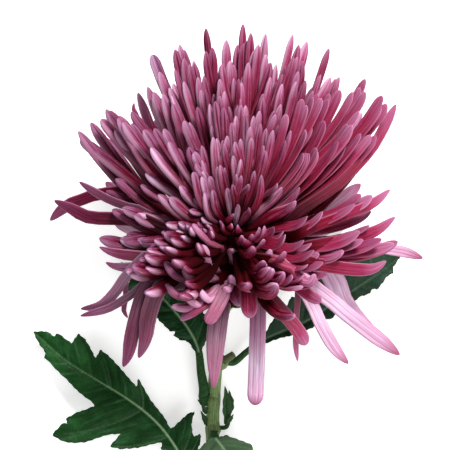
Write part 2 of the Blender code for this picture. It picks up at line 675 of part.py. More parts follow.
def build_involucre(parts, material):
    top = -DISC_DROP - GAP
    profile = [(0, top), (DISC_RADIUS, top)]
    profile += [(lerp(CUP_FOOT, CUP_RIM, share), top - drop) for drop, share in CUP_SHOULDER]
    profile += [(CUP_FOOT, top - CUP_DEPTH), (0, top - CUP_DEPTH)]
    cup = turned("involucre", profile, CUP_SIDES, parts)
    bracts = new_collection("bracts")
    for ring, (count, low, radius, rise) in enumerate(BRACT_RINGS):
        for index in range(count):
            azimuth = 2 * math.pi * (index + 0.5 * ring) / count
            out = direction(math.pi / 2, azimuth)
            knee_low, knee_out = BRACT_KNEE
            foot = HEAD_CENTRE + AXIS * (top - low * MM) + out * BRACT_FOOT
            knee = HEAD_CENTRE + AXIS * (top - knee_low * low * MM) + out * knee_out * radius * MM
            tip = HEAD_CENTRE + AXIS * (top - rise * MM) + out * radius * MM
            spine = [curve_point([foot, knee, tip], along) for along, _ in BRACT_SHAPE]
            widths = [BRACT_WIDTH * share for _, share in BRACT_SHAPE[:-1]]
            blade_strand(f"bract_{ring}_{index:02d}", spine, -out, widths, BRACT_KEEL, bracts)
    join_pieces(cup, bracts)
    set_material(cup, material)


def stem_line():
    top = HEAD_CENTRE - AXIS * (DISC_DROP + CUP_DEPTH + 2 * GAP)
    points = [top, top - AXIS * SQUARE_LENGTH, top - STEM_START * NECK_LENGTH]
    points += [on_table(point) for point in STEM_POINTS]
    return smooth_path(points, STEM_STEPS)


def build_stem(parts, material, floor):
    line = stem_line()
    radii = [lerp(STEM_NECK, STEM_RADIUS, min(1, index / NECK_STEPS)) for index in range(len(line))]
    stem = tube("stem", line, radii, 2, parts)
    knots = new_collection("knots")
    for name, (centre, radius) in KNOTS.items():
        bm = bmesh.new()
        bmesh.ops.create_uvsphere(bm, u_segments=8, v_segments=6, radius=radius * MM)
        bmesh.ops.translate(bm, verts=bm.verts, vec=on_table(centre))
        add_object("knot_" + name, mesh_from("knot_" + name, bm), knots)
    for index, (start, end, thick, thin) in enumerate(STUBS):
        tube(f"stub_{index}", [on_table(start), on_table(end)], [thick * MM, thin * MM], 1, knots)
    join_pieces(stem, knots)
    apply_boolean(stem, "DIFFERENCE", cutter=floor)
    set_material(stem, material)


def from_knot(name, points):
    """The points on the table, led by a seat on the knot, clear of it by the gap."""
    centre, radius = KNOTS[name]
    centre = on_table(centre)
    line = [on_table(point) for point in points]
    seat = centre + (line[0] - centre).normalized() * (radius * MM + GAP)
    return [seat, *line]


def nearest_on_rib(point, line):
    """Share along the rib's line nearest to the point in plan, the rib's height there, and the distance."""
    best = None
    for index, (start, end) in enumerate(zip(line, line[1:])):
        run = (end - start).xy
        share = max(0, min(1, (point - start.xy).dot(run) / run.length_squared))
        away = (point - start.xy - run * share).length
        if best is None or away < best[2]:
            best = ((index + share) / (len(line) - 1), lerp(start.z, end.z, share), away)
    return best


def blade_mesh(name, outline, rib, rise, wave):
    """A thin arched leaf blade, split into the same triangles above and below."""
    plan = [on_table((x, y, 0)).xy for x, y in outline]
    ring = list(range(len(plan)))
    spine = [point.xy for point in rib]
    chain = [(len(plan) + index, len(plan) + index + 1) for index in range(len(spine) - 1)]
    result = delaunay_2d_cdt(plan + spine, chain, [ring], 1, 1e-6)
    places, faces = result[0], result[2]
    bm = bmesh.new()
    top = []
    bottom = []
    for place in places:
        share, height, away = nearest_on_rib(place, rib)
        ripple = math.sin(share * WAVE_ALONG + place.x * WAVE_ACROSS) * min(1, away / WAVE_FULL)
        height += away * rise + wave * MM * ripple
        top.append(bm.verts.new((*place, height + LEAF_THICKNESS / 2)))
        bottom.append(bm.verts.new((*place, height - LEAF_THICKNESS / 2)))
    edge_use = {}
    for face in faces:
        bm.faces.new([top[index] for index in face])
        bm.faces.new([bottom[index] for index in reversed(face)])
        for here, after in zip(face, face[1:] + face[:1]):
            edge_use[here, after] = True
    for here, after in edge_use:
        if (after, here) not in edge_use:
            bm.faces.new((top[after], top[here], bottom[here], bottom[after]))
    return mesh_from(name, bm)


def build_leaf(name, leaf, parts, material):
    line = smooth_path(from_knot(name, leaf["rib"]), RIB_STEPS)
    blade_line = [point for point in line if in_outline(point, leaf["outline"])]
    item = add_object(name, blade_mesh(name, leaf["outline"], blade_line, leaf["rise"], leaf["wave"]), parts)
    ribs = new_collection(name + "_ribs")
    count = len(line)
    shares = [min(1, RIB_THINNING * index / count) for index in range(count)]
    radii = [lerp(leaf["stalk"], RIB_TIP, share) * MM for share in shares]
    reach = int(count * RIB_REACH)
    lowered = [point - Vector((0, 0, RIB_DROP)) for point in line[:reach]]
    tube(name + "_rib", lowered, radii[:reach], 1, ribs)
    join_pieces(item, ribs)
    set_material(item, material)


def in_outline(point, outline):
    """True where the point lies well inside the leaf's outline in plan."""
    corners = [on_table((x, y, 0)).xy for x, y in outline]
    inside = False
    for start, end in zip(corners, corners[1:] + corners[:1]):
        if (start.y > point.y) != (end.y > point.y):
            crossing = start.x + (point.y - start.y) / (end.y - start.y) * (end.x - start.x)
            if point.x < crossing:
                inside = not inside
    nearest = min((corner - point.xy).length for corner in corners)
    return inside and nearest > RIB_MARGIN


def build_shoot(parts, material):
    line = smooth_path(from_knot("leaf_front", SHOOT_STALK), SHOOT_STEPS)
    shoot = tube("side_shoot", line, [SHOOT_RADIUS] * len(line), 1, parts)
    leaves = new_collection("young_leaves")
    for index, (controls, width) in enumerate(SHOOT_LEAVES):
        curve = [on_table(point) for point in controls]
        spine = [curve_point(curve, along) for along, _ in SHOOT_SHAPE]
        widths = [width * share * MM for _, share in SHOOT_SHAPE[:-1]]
        blade_strand(f"young_leaf_{index}", spine, SHOOT_FACE, widths, SHOOT_KEEL, leaves)
    join_pieces(shoot, leaves)
    set_material(shoot, material)


def build_floor_cutter():
    """The half space below the table, which flattens what rests on it."""
    cutters = new_collection("cutters")
    bm = bmesh.new()
    bmesh.ops.create_cube(bm, size=FLOOR_CUT_SIZE)
    bmesh.ops.translate(bm, verts=bm.verts, vec=(0, 0, -FLOOR_CUT_SIZE / 2))
    cutter = add_object("table_cutter", mesh_from("table_cutter", bm), cutters)
    cutter.hide_render = True
    cutter.display_type = "WIRE"
    return cutter


def main():
    for item in list(bpy.data.objects):
        bpy.data.objects.remove(item)
    parts = new_collection("disbud_chrysanthemum")
    floor = build_floor_cutter()
    petal = make_material("petal", (0.30, 0.05, 0.12), 0.55)
    green = make_material("leaf", (0.02, 0.08, 0.02), 0.5)
    stalk = make_material("stem", (0.08, 0.16, 0.04), 0.5)
    build_bloom(parts, petal, floor)
    build_involucre(parts, green)
    build_stem(parts, stalk, floor)
    for name, leaf in LEAVES.items():
        build_leaf(name, leaf, parts, green)
    build_shoot(parts, green)
    for item in parts.objects:
        item.data.shade_smooth()
        item.data.set_sharp_from_angle(angle=SHARP_ANGLE)


main()
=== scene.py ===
"""Looks of the disbud chrysanthemum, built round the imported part.

Metres, +Z up, in the part's own frame. The flower lies on its back, its head towards +Y, and the camera
looks straight down on it. Points written in millimetres are measured from the head centre in plan, with
height above the table, unless a comment says otherwise.
"""
import functools
import math
import random

import bpy
import numpy as np
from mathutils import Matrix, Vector
from mathutils.geometry import delaunay_2d_cdt

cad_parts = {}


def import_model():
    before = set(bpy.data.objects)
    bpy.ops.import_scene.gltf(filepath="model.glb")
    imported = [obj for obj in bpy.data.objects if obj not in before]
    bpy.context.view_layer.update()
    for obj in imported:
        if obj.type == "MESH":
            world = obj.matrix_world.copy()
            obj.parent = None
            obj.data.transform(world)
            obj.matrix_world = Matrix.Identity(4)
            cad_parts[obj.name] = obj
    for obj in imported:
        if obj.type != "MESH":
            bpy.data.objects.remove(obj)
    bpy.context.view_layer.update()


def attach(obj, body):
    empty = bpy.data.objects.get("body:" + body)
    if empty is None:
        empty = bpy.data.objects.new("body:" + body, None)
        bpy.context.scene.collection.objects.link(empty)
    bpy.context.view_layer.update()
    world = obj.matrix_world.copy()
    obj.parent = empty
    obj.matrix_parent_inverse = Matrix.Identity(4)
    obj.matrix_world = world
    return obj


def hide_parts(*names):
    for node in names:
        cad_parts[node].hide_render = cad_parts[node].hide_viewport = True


MM = 0.001
SEED = 5

# The head: its centre is the point that the florets spread from, and its axis leans towards +Y.
HEAD_CENTRE = Vector((0.0044, 0.0138, 0.040))
HEAD_TILT = math.radians(40)
AXIS = Vector((0, math.sin(HEAD_TILT), math.cos(HEAD_TILT)))
BACK = Vector((0, math.cos(HEAD_TILT), -math.sin(HEAD_TILT)))
RIGHT = Vector((1, 0, 0))
UP = Vector((0, 0, 1))

# The dense florets stand on a golden-angle spiral, from the middle (share 0) to the rim (share 1), and
# crowd towards the back by this share.
GOLDEN_ANGLE = math.radians(137.50776)
FLORET_COUNT = 500
BACK_SHARE = 0.42
# They start on a small ball, down to the largest polar angle, and their tips lie this far from the head
# centre in the middle and typically at the rim.
ROOT_CENTRE = HEAD_CENTRE + AXIS * 16 * MM
ROOT_RADIUS = 8 * MM
ROOT_POLAR_MAX = math.radians(95)
INNER_REACH = 22 * MM
TYPICAL_REACH = 70 * MM
REACH_POWER = 0.65
# From the middle to the rim: how far apart they stand, their width, and how far they bulge out where they
# bend, at this share of their length.
SPACING = (3.7 * MM, 6.2 * MM)
FLORET_WIDTH = (2.3 * MM, 3.7 * MM)
FLORET_BULGE = (0.03, 0.17)
BEND_SHARE = 0.6
# How unevenly they grow: the azimuth in radians and the polar angle in degrees as spreads, and the rest as
# shares.
AZIMUTH_SPREAD = 0.075
POLAR_SPREAD = 2.3
REACH_CHANGE = (-0.10, 0.06)
BULGE_CHANGE = 0.4
WIDTH_CHANGE = (0.82, 1.15)
# They are thinned out and widened by azimuth, in full from this share outwards.
CROWDING_FULL = 0.25
# The core inside the head, painted near black as shade: polar angle in degrees and radius in millimetres,
# from its top down.
CORE = ((0, 13), (30, 14), (55, 18), (75, 21), (90, 15), (110, 8))
CORE_SIDES = 40
# The florets fill a cap out to this polar angle, which is summed up in steps.
FILL_POLAR = math.radians(60)
FILL_STEPS = 400

# Rim of the dense head: azimuth in degrees from the back towards the right, polar angle of the
# outermost tips in degrees, and their distance from the head centre in millimetres.
RIM = (
    (0, 52, 88), (28, 54, 87), (50, 62, 87), (54, 62, 88), (58, 62, 71), (64, 80, 65), (84, 81, 61),
    (95, 81, 59), (101, 79, 52), (108, 74, 41), (130, 66, 48), (165, 60, 49), (200, 60, 49),
    (235, 64, 49), (252, 70, 44), (268, 75, 44), (276, 77, 49), (284, 75, 53), (297, 66, 55),
    (303, 60, 73), (313, 61, 75), (323, 56, 72), (334, 53, 85), (360, 52, 88),
)
# Places where the head parts: azimuth, half width in degrees, and the share at which the parting starts.
PARTINGS = ((67, 9.0, 0.40), (-38, 5.5, 0.60), (-53, 4.0, 0.72))
# How many of the florets grow, and how much wider they are at the rim, by azimuth.
CROWDING = (
    (0, 1, 1), (30, 1, 1), (55, 0.85, 1.15), (75, 0.6, 1.3), (100, 0.4, 1.55), (120, 0.36, 1.7),
    (140, 0.42, 1.55), (180, 0.45, 1.5), (225, 0.55, 1.5), (262, 0.62, 1.45), (290, 0.6, 1.35),
    (320, 0.75, 1.2), (345, 0.95, 1), (360, 1, 1),
)
# The dark valley at the front, in degrees: its middle azimuth, its half width, and how far from the middle
# the florets are pushed together. Then the shares where it starts, where it is fully open and where it ends.
VALLEY = (194, 24, 70)
VALLEY_SHARES = (0.12, 0.30, 0.80, 0.92)

# Outer florets that stand apart: azimuth and polar angle of the root in degrees, the points that the
# floret passes up to its tip in millimetres from the head centre, its width in millimetres, how far it has
# paled, and how far it has turned from crimson to purple, partly as painted shade.
OLD_FLORETS = (
    (54, 80, ((24, 22, 22), (36, 29.7, 14), (44.2, 37.1, 8), (51.6, 45.3, 2), (56, 52.7, -1),
              (60.9, 61.8, -3)), 4, 0.04, 0.3),
    (70, 82, ((22, 13, 22), (40.6, 20.4, 16), (50.6, 24.4, 12), (57.6, 29.7, 10)), 4.6, 0, 0.1),
    (76, 84, ((24, 8, 20), (43, 11.6, 16), (52, 14.6, 14), (59.2, 19.7, 13)), 4.8, 0, 0.1),
    (105, 90, ((22, 4, 26), (31, 2.4, 20), (42.6, 0.7, 16), (50.6, 0.7, 14), (55.8, 3.6, 14)), 5, 0, 0.4),
    (90, 98, ((36, 11, 4), (51.3, 9, -3), (58.8, 7.5, -7), (64.9, 6.4, -10), (72, 4, -14)), 4.4, 0.85, 0),
    (118, 98, ((28, 3, 8), (36.8, -1.5, 2), (40, -10, -2), (44, -16, -6), (49, -20.5, -8),
               (55.2, -25.4, -10)), 8, 1, 0),
    (128, 96, ((20, 0, 22), (27.4, -5.1, 18), (33.5, -9.1, 15), (40.8, -15.3, 12), (48.2, -21.2, 8),
               (55.8, -26.9, 5), (61.7, -31.4, 3)), 5.8, 0.9, 0.05),
    (138, 97, ((22, -4, 18), (28, -10.9, 14), (31, -17.5, 12), (34.7, -24.5, 10), (38.4, -30, 7),
               (42.6, -34.6, 4)), 4.8, 0.9, 0),
    (150, 104, ((22, 0, 6), (23.8, -8, 4), (23.4, -18.6, 0), (23.4, -27.9, -2), (24.1, -34.2, -3)), 2.2,
                0.15, 0.3),
    (238, 98, ((-26, -1, 20), (-33.5, -5.8, 18), (-36.4, -8, 16), (-41.2, -11.3, 13), (-46.8, -14.2, 10),
               (-56.3, -16.8, 7)), 3.2, 0.45, 1),
    (246, 98, ((-28, 6, 20), (-34, 3, 18), (-38.5, -1, 15), (-41, -5, 13), (-45.3, -10.2, 10),
               (-49.3, -13.1, 8), (-56.3, -14.3, 5)), 4.2, 0.4, 1),
    (232, 104, ((-36, 2, 4), (-39.5, -4, 2), (-40, -11, -2), (-40.8, -15, -4), (-39.4, -18.2, -6)), 2,
                0.3, 1),
    (220, 98, ((-26, -2, 20), (-32.4, -8, 18), (-35.2, -16, 15), (-37, -23.4, 12), (-38.5, -30.7, 9),
               (-40.4, -35.6, 7)), 5.4, 0.25, 1),
    (214, 98, ((-23, -4, 22), (-28.6, -9.5, 20), (-31, -17.3, 16), (-31.7, -23.2, 14), (-32.9, -27.7, 11),
               (-34.7, -32.2, 8)), 6.2, 0.2, 1),
    (254, 94, ((-24, 2, 22), (-33.8, 1.6, 18), (-39.3, 1.3, 15), (-43.7, 1.8, 13), (-46.6, 3.1, 12)), 3.8,
               0.5, 1),
    (260, 92, ((-26, 4.6, 22), (-32.7, 5.4, 20), (-39.2, 5.9, 17), (-44.6, 7, 15), (-48.8, 8.7, 14)), 4.2,
               0.1, 1),
    (296, 88, ((-28, 27, 4), (-38, 29, -1), (-44.2, 28.8, -2), (-50.2, 28.5, -4), (-55.4, 26.6, -5),
               (-60.7, 24.9, -7), (-64.8, 22.1, -8), (-68.9, 18.3, -10)), 4.6, 0, 1.25),
    (290, 86, ((-30, 20, 14), (-38, 23, 9), (-44.7, 25.5, 7), (-50.9, 28.8, 5), (-57, 32.7, 3)), 3.4, 0.2,
               1.25),
    (282, 88, ((-26, 16, 18), (-36, 18.5, 12), (-43.4, 19, 9), (-49, 19.1, 7), (-54.5, 19.9, 5),
               (-60, 22.8, 3), (-66.4, 25.8, 1)), 5, 0.05, 1.25),
    (318, 96, ((-35.2, 55.5, -22), (-38, 63.7, -24)), 2, 0, 1),
    (190, 98, ((-3, -6, 8), (-3.8, -9, 16), (-5.4, -17, 20), (-6.4, -26, 19), (-6.8, -34, 17),
               (-7, -42.6, 15)), 7.2, 0.4, 0.45),
)
# Blunt florets that hang below the valley, in the same terms.
BLUNT_FLORETS = (
    (172, 96, ((7.4, -4, 10), (8.8, -11, 18), (8.6, -24, 17), (8.4, -36, 14), (8, -49.2, 12)), 6, 0.95,
               0.1),
    (178, 92, ((4.4, -4, 20), (5.4, -8, 28), (5.8, -16.6, 28)), 6.2, 0, 0.3),
    (194, 92, ((-2.4, -5, 20), (-3.4, -7.6, 28), (-5.7, -12.4, 31), (-9.4, -18.4, 30)), 5, 0.3, 0),
    (158, 94, ((6, 0, 30), (9.2, -5.3, 29), (15.8, -12.5, 27), (22.2, -19.8, 23), (26.6, -26.6, 19)), 5.2,
               0.05, 0.35),
    (146, 92, ((9, 6, 32), (15, 1.5, 31), (21, -3.6, 30), (27.5, -8.6, 30), (31.4, -10.2, 31)), 4.4, 0,
               0.35),
)
# Curled florets round the lower edge of the valley, and two long ones at the back left, in the same terms.
CURLED_FLORETS = (
    (120, 88, ((14, 4, 34), (22, -1, 34), (27, -3.4, 36), (28.8, -0.6, 38)), 4.8, 0.05, 0),
    (160, 60, ((3, 3, 20), (6, 4, 25), (7.2, 7, 28)), 4.8, 0.15, 0),
    (155, 66, ((7, -2, 24), (9.2, -0.5, 28), (9.6, 3.6, 30)), 4.8, 0.15, 0),
    (150, 66, ((9, 2, 24), (12, 3.5, 28), (13, 8, 31)), 4.6, 0.05, 0),
    (175, 70, ((5.5, -5.5, 24), (7.4, -5, 28), (8.2, -1.8, 31)), 4.6, 0.3, 0),
    (172, 74, ((2.5, -3, 20), (3.8, -3.6, 25), (4.2, -0.8, 28)), 4.6, 0.1, 0),
    (168, 84, ((4, -5, 24), (5.6, -6, 30), (6.6, -3.4, 33)), 4.6, 0.2, 0),
    (185, 75, ((1.2, -4.5, 18), (-0.2, -3.6, 23), (-1, -1.4, 26)), 3.8, 0.5, 0),
    (190, 78, ((-1, -4.5, 20), (-2.4, -6.8, 26), (-3.4, -5.4, 29)), 4, 0.5, 0),
    (178, 80, ((0.6, -5, 18), (1.2, -9.5, 24), (1.8, -12.2, 27)), 5, 0, 0),
    (190, 40, ((1, 4, 15), (0, 6.4, 20), (-0.8, 7.8, 24)), 3.8, 0.8, 0),
    (222, 80, ((-9, -2, 22), (-14, -2.8, 27), (-18, 1.2, 31)), 5.8, 0.3, 0),
    (232, 70, ((-7, 1, 20), (-9.8, 3.5, 26), (-10.8, 9.6, 34)), 4.8, 0.3, 0),
    (236, 80, ((-14, -2, 22), (-20, -1.2, 27), (-24.6, 3.6, 31)), 4.8, 0.2, 0.3),
    (222, 86, ((-12, -6, 22), (-19, -8.8, 27), (-24.2, -4.4, 30)), 4.8, 0.1, 0.2),
    (212, 88, ((-8, -9, 24), (-13, -11.4, 29), (-17.8, -7.2, 32)), 4.8, 0.3, 0),
    (202, 86, ((-6, -7.5, 26), (-9, -9.8, 30), (-12.8, -5.6, 33)), 4.4, 0.35, 0),
    (206, 90, ((-8, -10, 26), (-13, -13.4, 28), (-19, -17.2, 27)), 5, 0, 0),
    (212, 90, ((-11, -8, 26), (-16, -12.6, 28), (-22, -12.4, 31)), 4.8, 0.05, 0.2),
    (262, 60, ((-5, 9, 22), (-9, 11, 28), (-14.6, 17, 33)), 4.4, 0.05, 0.2),
    (305, 66, ((-20, 19, 12), (-39.5, 35, 3), (-49.5, 43, -1), (-57, 48.4, -2)), 4.8, 0, 1.25),
    (334, 50, ((-9, 30, 22), (-18.5, 54, 12), (-25.5, 68.5, 5), (-30, 80, 0)), 4.4, 0, 1.25),
)
# The direction that the florets of the first two tables face.
OLD_FACE = Vector((0, -0.25, 1))

# Rows under the back of the rim: the count, the first and last azimuth, and the polar angle of the tips in
# degrees with their distance from the head centre in millimetres. The azimuths and polar angles spread by
# some degrees, and seen from the tip the bend and the face lie at these polar angles.
UNDER_ROWS = ((14, -56, 50, 66, 77), (11, -44, 44, 79, 73))
UNDER_WIDTH = 4.2 * MM
UNDER_SPREAD = (1.5, 2.0)
UNDER_BEND = math.radians(20)
UNDER_FACE = math.radians(-80)

# The reflexed florets that the head rests on stand to both sides of the back. Their tips lie at the two
# distances by turns, and aim below the table, so that the soft floor presses them flat.
REST_COUNT = 13
REST_SIDE = math.radians(68)
REST_JITTER = math.radians(1.2)
REST_DISTANCE = (50 * MM, 60 * MM)
REST_WIDTH = 4.6 * MM
REST_BEND = 44 * MM
REST_POLAR = math.radians(84)
REST_DEPTH = 8 * MM
REST_FACE_RISE = 0.6
# Their tone: how far they have paled, and how far they have turned purple, partly as painted shade.
REST_TONE = (0.5, 0.5)
# The middle line of the florets under the head stays above this height, eased over the softness, and isn't
# changed where it lies this many times the softness higher.
FLOOR_SPINE = 0.6 * MM
FLOOR_SOFTNESS = 2.5 * MM
SOFT_LIMIT = 20

# A floret hooks back towards the axis from this share on: by how much anywhere, at the front and at the
# right, in millimetres.
HOOK_START = 0.62
HOOK = (0.5, 5.5, 4.0)
CURVE_STEPS = 16
# The tip's longest share of a floret, how its length varies, and how full it is before its end.
TIP_LONGEST = 0.5
TIP_CHANGE = (0.8, 1.25)
TIP_FULLNESS = 0.6
# How deep the grooves are, from the smoothest floret to the most folded one, and how late they end.
GROOVE_RANGE = (0.3, 1.3)
GROOVE_END = 3
# A few florets at the back of the middle have paled by up to this much, less and less out to this share;
# their pale colour is partly a painted highlight.
PALE_AND_HIGHLIT_MIDDLE = 1.1
PALE_POWER = 3
PALE_REACH = 0.75
# Right of this sine of the azimuth the florets open flat, from these shares on at the back and at the
# front, and this is how soon the one turns into the other.
OPEN_RIGHT = 0.6
OPEN_FROM = (0.5, 0.25)
OPEN_TURN = 3
# Left of this sine of the azimuth they have rounder tips.
ROUND_LEFT = -0.55
# The florets turn most purple and take the most painted shade at this angle from the left towards the back.
PURPLE_AND_SHADE_TURN = math.radians(-10)
PURPLE_AND_SHADE_POWER = 2.2
# Painted shade: the colour of the florets at the front darkens sooner towards the root, and less so at the
# right.
FRONT_SHADOW = 2.1
RIGHT_LIGHT = 1.1
# Painted light and shade: those at the back left stay light further towards the root, and those at the front
# left darken sooner.
LEFT_LIGHT = 1.6
LEFT_SHADE = 0.9
# Painted light: those at the right stay a little lighter too.
SIDE_LIGHT = 0.3
# Painted shade: the tips of the rim are less pale at the back.
TIP_SHADE = 0.075
TIP_SHADE_MIDDLE = math.radians(-10)
# The stations along a fine floret.
STATIONS = (0, 0.12, 0.24, 0.36, 0.48, 0.58, 0.67, 0.75, 0.81, 0.86, 0.9, 0.935, 0.962, 0.982, 0.994)

# The looks of the florets: the width at the root and the share at which it is full, the length of the tip
# in widths and how blunt it is, how far the floret sways in millimetres and twists, how flat it lies open,
# its raised rims, its rounded back and its grooves, and the points across its inner and outer face.
DENSE_LOOK = {
    "narrow": 0.42, "full": 0.6, "tip": 1.8, "tip_power": 1.8, "sway": 1.5, "twist": 0.5, "flat": 0,
    "rim": 0.36, "belly": 0.30, "groove": 0.22, "groove_width": 0.17, "grooves": (0,),
    "inner_points": (-1, -0.88, -0.65, -0.38, -0.2, -0.1, 0, 0.1, 0.2, 0.38, 0.65, 0.88, 1),
    "outer_points": (0.78, 0.42, 0, -0.42, -0.78),
}
FRONT_LOOK = {**DENSE_LOOK, "tip": 1.1, "tip_power": 2.2}
CURLED_LOOK = {**DENSE_LOOK, "tip": 1.0, "tip_power": 2.3, "sway": 0.4, "twist": 0.25}
OPEN_LOOK = {
    "narrow": 0.40, "full": 0.6, "tip": 1.1, "tip_power": 2.2, "sway": 1.0, "twist": 0.2, "flat": 0.8,
    "rim": 0.14, "belly": 0.18, "groove": 0.05, "groove_width": 0.16, "grooves": (-0.4, 0.4),
    "inner_points": (-1, -0.85, -0.66, -0.5, -0.3, -0.12, 0, 0.12, 0.3, 0.5, 0.66, 0.85, 1),
    "outer_points": (0.7, 0.3, -0.3, -0.7),
}
OLD_LOOK = {
    "narrow": 0.45, "full": 0.45, "tip": 2.6, "tip_power": 1.6, "sway": 0.2, "twist": 0.1, "flat": 1,
    "rim": 0.08, "belly": 0.10, "groove": 0.05, "groove_width": 0.13, "grooves": (-0.34, 0.34),
    "inner_points": (-1, -0.8, -0.6, -0.42, -0.24, -0.1, 0, 0.1, 0.24, 0.42, 0.6, 0.8, 1),
    "outer_points": (0.6, 0.2, -0.2, -0.6),
}
BLUNT_LOOK = {
    **OLD_LOOK, "narrow": 0.7, "full": 0.4, "tip": 0.8, "tip_power": 2.4, "rim": 0.16, "belly": 0.16,
    "groove": 0.07,
}
# The florets with their own paths: their look and table, and how soon painted shade darkens them to the root.
PATH_FLORETS = (
    (OLD_LOOK, OLD_FLORETS, 1.0), (BLUNT_LOOK, BLUNT_FLORETS, 1.7), (CURLED_LOOK, CURLED_FLORETS, 1.0),
)

# The cup under the head starts a gap below the florets' disc, which ends this far below the head centre.
# Its profile holds the radius and the drop in millimetres. Its bracts stand in rings: their count, the drop
# of the foot, and the radius and the drop of the tip.
DISC_DROP = 4.5 * MM
GAP = 0.3 * MM
CUP_SIDES = 36
CUP_DEPTH = 10.5 * MM
CUP_PROFILE = ((8.0, 0), (9.2, 1.2), (9.2, 3.4), (7.4, 7.0), (5.6, 9.4), (4.2, 10.3))
BRACT_RINGS = ((13, 5.6, 11.7, -1.2), (12, 7.6, 11.4, 1.2), (11, 9.6, 10.4, 3.8))
BRACT_WIDTH = 4.4 * MM
# A bract starts this far from the axis in millimetres, turns up over this share of its rise, and its tip
# bends in by this much.
BRACT_FOOT = 4.6
BRACT_KNEE = 0.35
BRACT_TIP_IN = 0.6
# The tone of the bare cup: that of a bract at this share of its length.
CUP_ALONG = 0.3

# The section of a small blade: each point across it, and its height in millimetres.
BLADE_SECTION = (
    (-1, 0.05), (-0.66, 0.2), (-0.33, 0.22), (0, 0.12), (0.33, 0.22), (0.66, 0.2), (1, 0.05),
    (0.6, -0.15), (0, -0.3), (-0.6, -0.15),
)
# Small blades: rows along them, width at the foot, where they are widest, how blunt the tip is, the teeth,
# and how far their sides are raised.
YOUNG_LEAF = {
    "rows": 18, "foot": 0.3, "full": 0.45, "tip": 1.4, "teeth": 0.14, "tooth_count": 3.5, "cup": 0.34,
}
BRACT = {"rows": 12, "foot": 0.8, "full": 0.5, "tip": 2.0, "teeth": 0, "tooth_count": 0, "cup": -0.1}
CUP_POWER = 1.5
# The share of its length over which the direction of a small blade is measured.
AHEAD = 0.01

# The stem, from the cup to its cut end, close to the part's. It leaves the cup square to it, then against
# the start direction, and narrows from the neck over the first steps.
STEM_RADIUS = 2.55 * MM
STEM_NECK = 3.1 * MM
STEM_STEPS = 10
NECK_STEPS = 30
SQUARE_LENGTH = 2.5 * MM
STEM_START = Vector((0.42, 0.58, 0.70))
NECK_LENGTH = 7 * MM
STEM_POINTS = (
    (-5.4, -22.6, 14.0), (-6.0, -30.6, 7.8), (-6.6, -40.4, 3.8), (-7.3, -50.0, 2.5),
    (-7.7, -60.0, 2.4), (-7.7, -75.0, 2.4), (-7.4, -95.0, 2.4), (-7.0, -118.0, 2.4),
)
# The swelling of the stem under each leaf: its centre and radius in millimetres.
KNOTS = {
    "leaf_right": ((-4.6, -36.8, 5.4), 3.1),
    "leaf_back_left": ((-7.6, -52.0, 2.9), 2.8),
    "leaf_front": ((-7.4, -63.0, 3.0), 3.0),
    "leaf_large_left": ((-8.0, -88.5, 2.7), 3.0),
}
# The stalk of a leaf starts inside its knot, at this share of the radius.
SEAT_SHARE = 0.8
# The balls in the knots: steps, the least radius at their ends, and how far they look like a scar.
KNOT_STEPS = 10
KNOT_LEAST = 0.02
KNOT_SCAR = 0.35
# The scar of a side stem: start, end, and the start and end radius, in millimetres.
SCAR = ((-3.6, -36.2, 7.6), (0.4, -33.4, 9.0), 1.6, 1.4)
SCAR_STEPS = 4
STEM_SIDES = 28
STEM_RIDGES = 7
STEM_RIDGE = 0.035
KNOT_LENGTH = 2.2 * MM
STEM_LOWEST = 0.05 * MM
# The short hairs on the stem. They stand round its upper side, in half turns, and lean along it.
HAIR_COUNT = 420
HAIR_LENGTH = (0.35 * MM, 0.8 * MM)
HAIR_WIDTH = 0.05 * MM
HAIR_TURN = (-0.2, 1.2)
HAIR_SEAT = 0.94
HAIR_LEAN = 0.6

# The leaf blades: their fine mesh, the edge with its teeth, the waves and the relief between the veins.
BLADE_THICKNESS = 0.5 * MM
BLADE_GRID = 0.62 * MM
BLADE_MARGIN = 0.3 * MM
MERGE_DISTANCE = 1e-7
# The output of the triangulation that keeps the triangles inside the outline.
TRIANGLES_INSIDE = 1
OUTLINE_STEPS = 6
OUTLINE_STRAIGHT = 0.65
TOOTH_HEIGHT = 0.42 * MM
TOOTH_STEP = 3.1 * MM
RIB_STEPS = 16
WAVE_ALONG = 19
WAVE_ACROSS = 90
WAVE_FULL = 8 * MM
QUILT_HEIGHT = 0.8 * MM
QUILT_WIDTH = (1.3 * MM, 1.3 * MM)
# The smaller furrows between the side veins: their height and distance, and how far they lean.
FURROW_HEIGHT = 0.13 * MM
FURROW_STEP = 4.4 * MM
FURROW_LEAN = 0.9
# Side veins run from the midrib, at this share of it or later, to each tooth that stands this far out,
# leaning towards the tip. They are fainter than the midrib.
VEIN_LEAST = 3.5 * MM
VEIN_LEAN = 0.95
VEIN_ROOT = 0.02
VEIN_CURVE = 0.16
VEIN_WIDTH = (0.42 * MM, 0.2 * MM)
VEIN_SHARE = 0.26
MIDRIB_WIDTH = (0.48 * MM, 0.22 * MM)
# The midrib runs under the blade, lower and lower over its first part, and thins to its tip.
RIB_DROP = (0.35 * MM, 1.0 * MM)
RIB_SINK = 6
RIB_TIP = 0.5
RIB_THINNING = 1.25
RIB_REACH = 0.85
STALK_SIDES = 14
STALK_FLAT = 0.62
STALK_WIDE = 1.25
STALK_TONE = {"vein": 0.25, "under": 0, "stalk": 1, "light": 0}
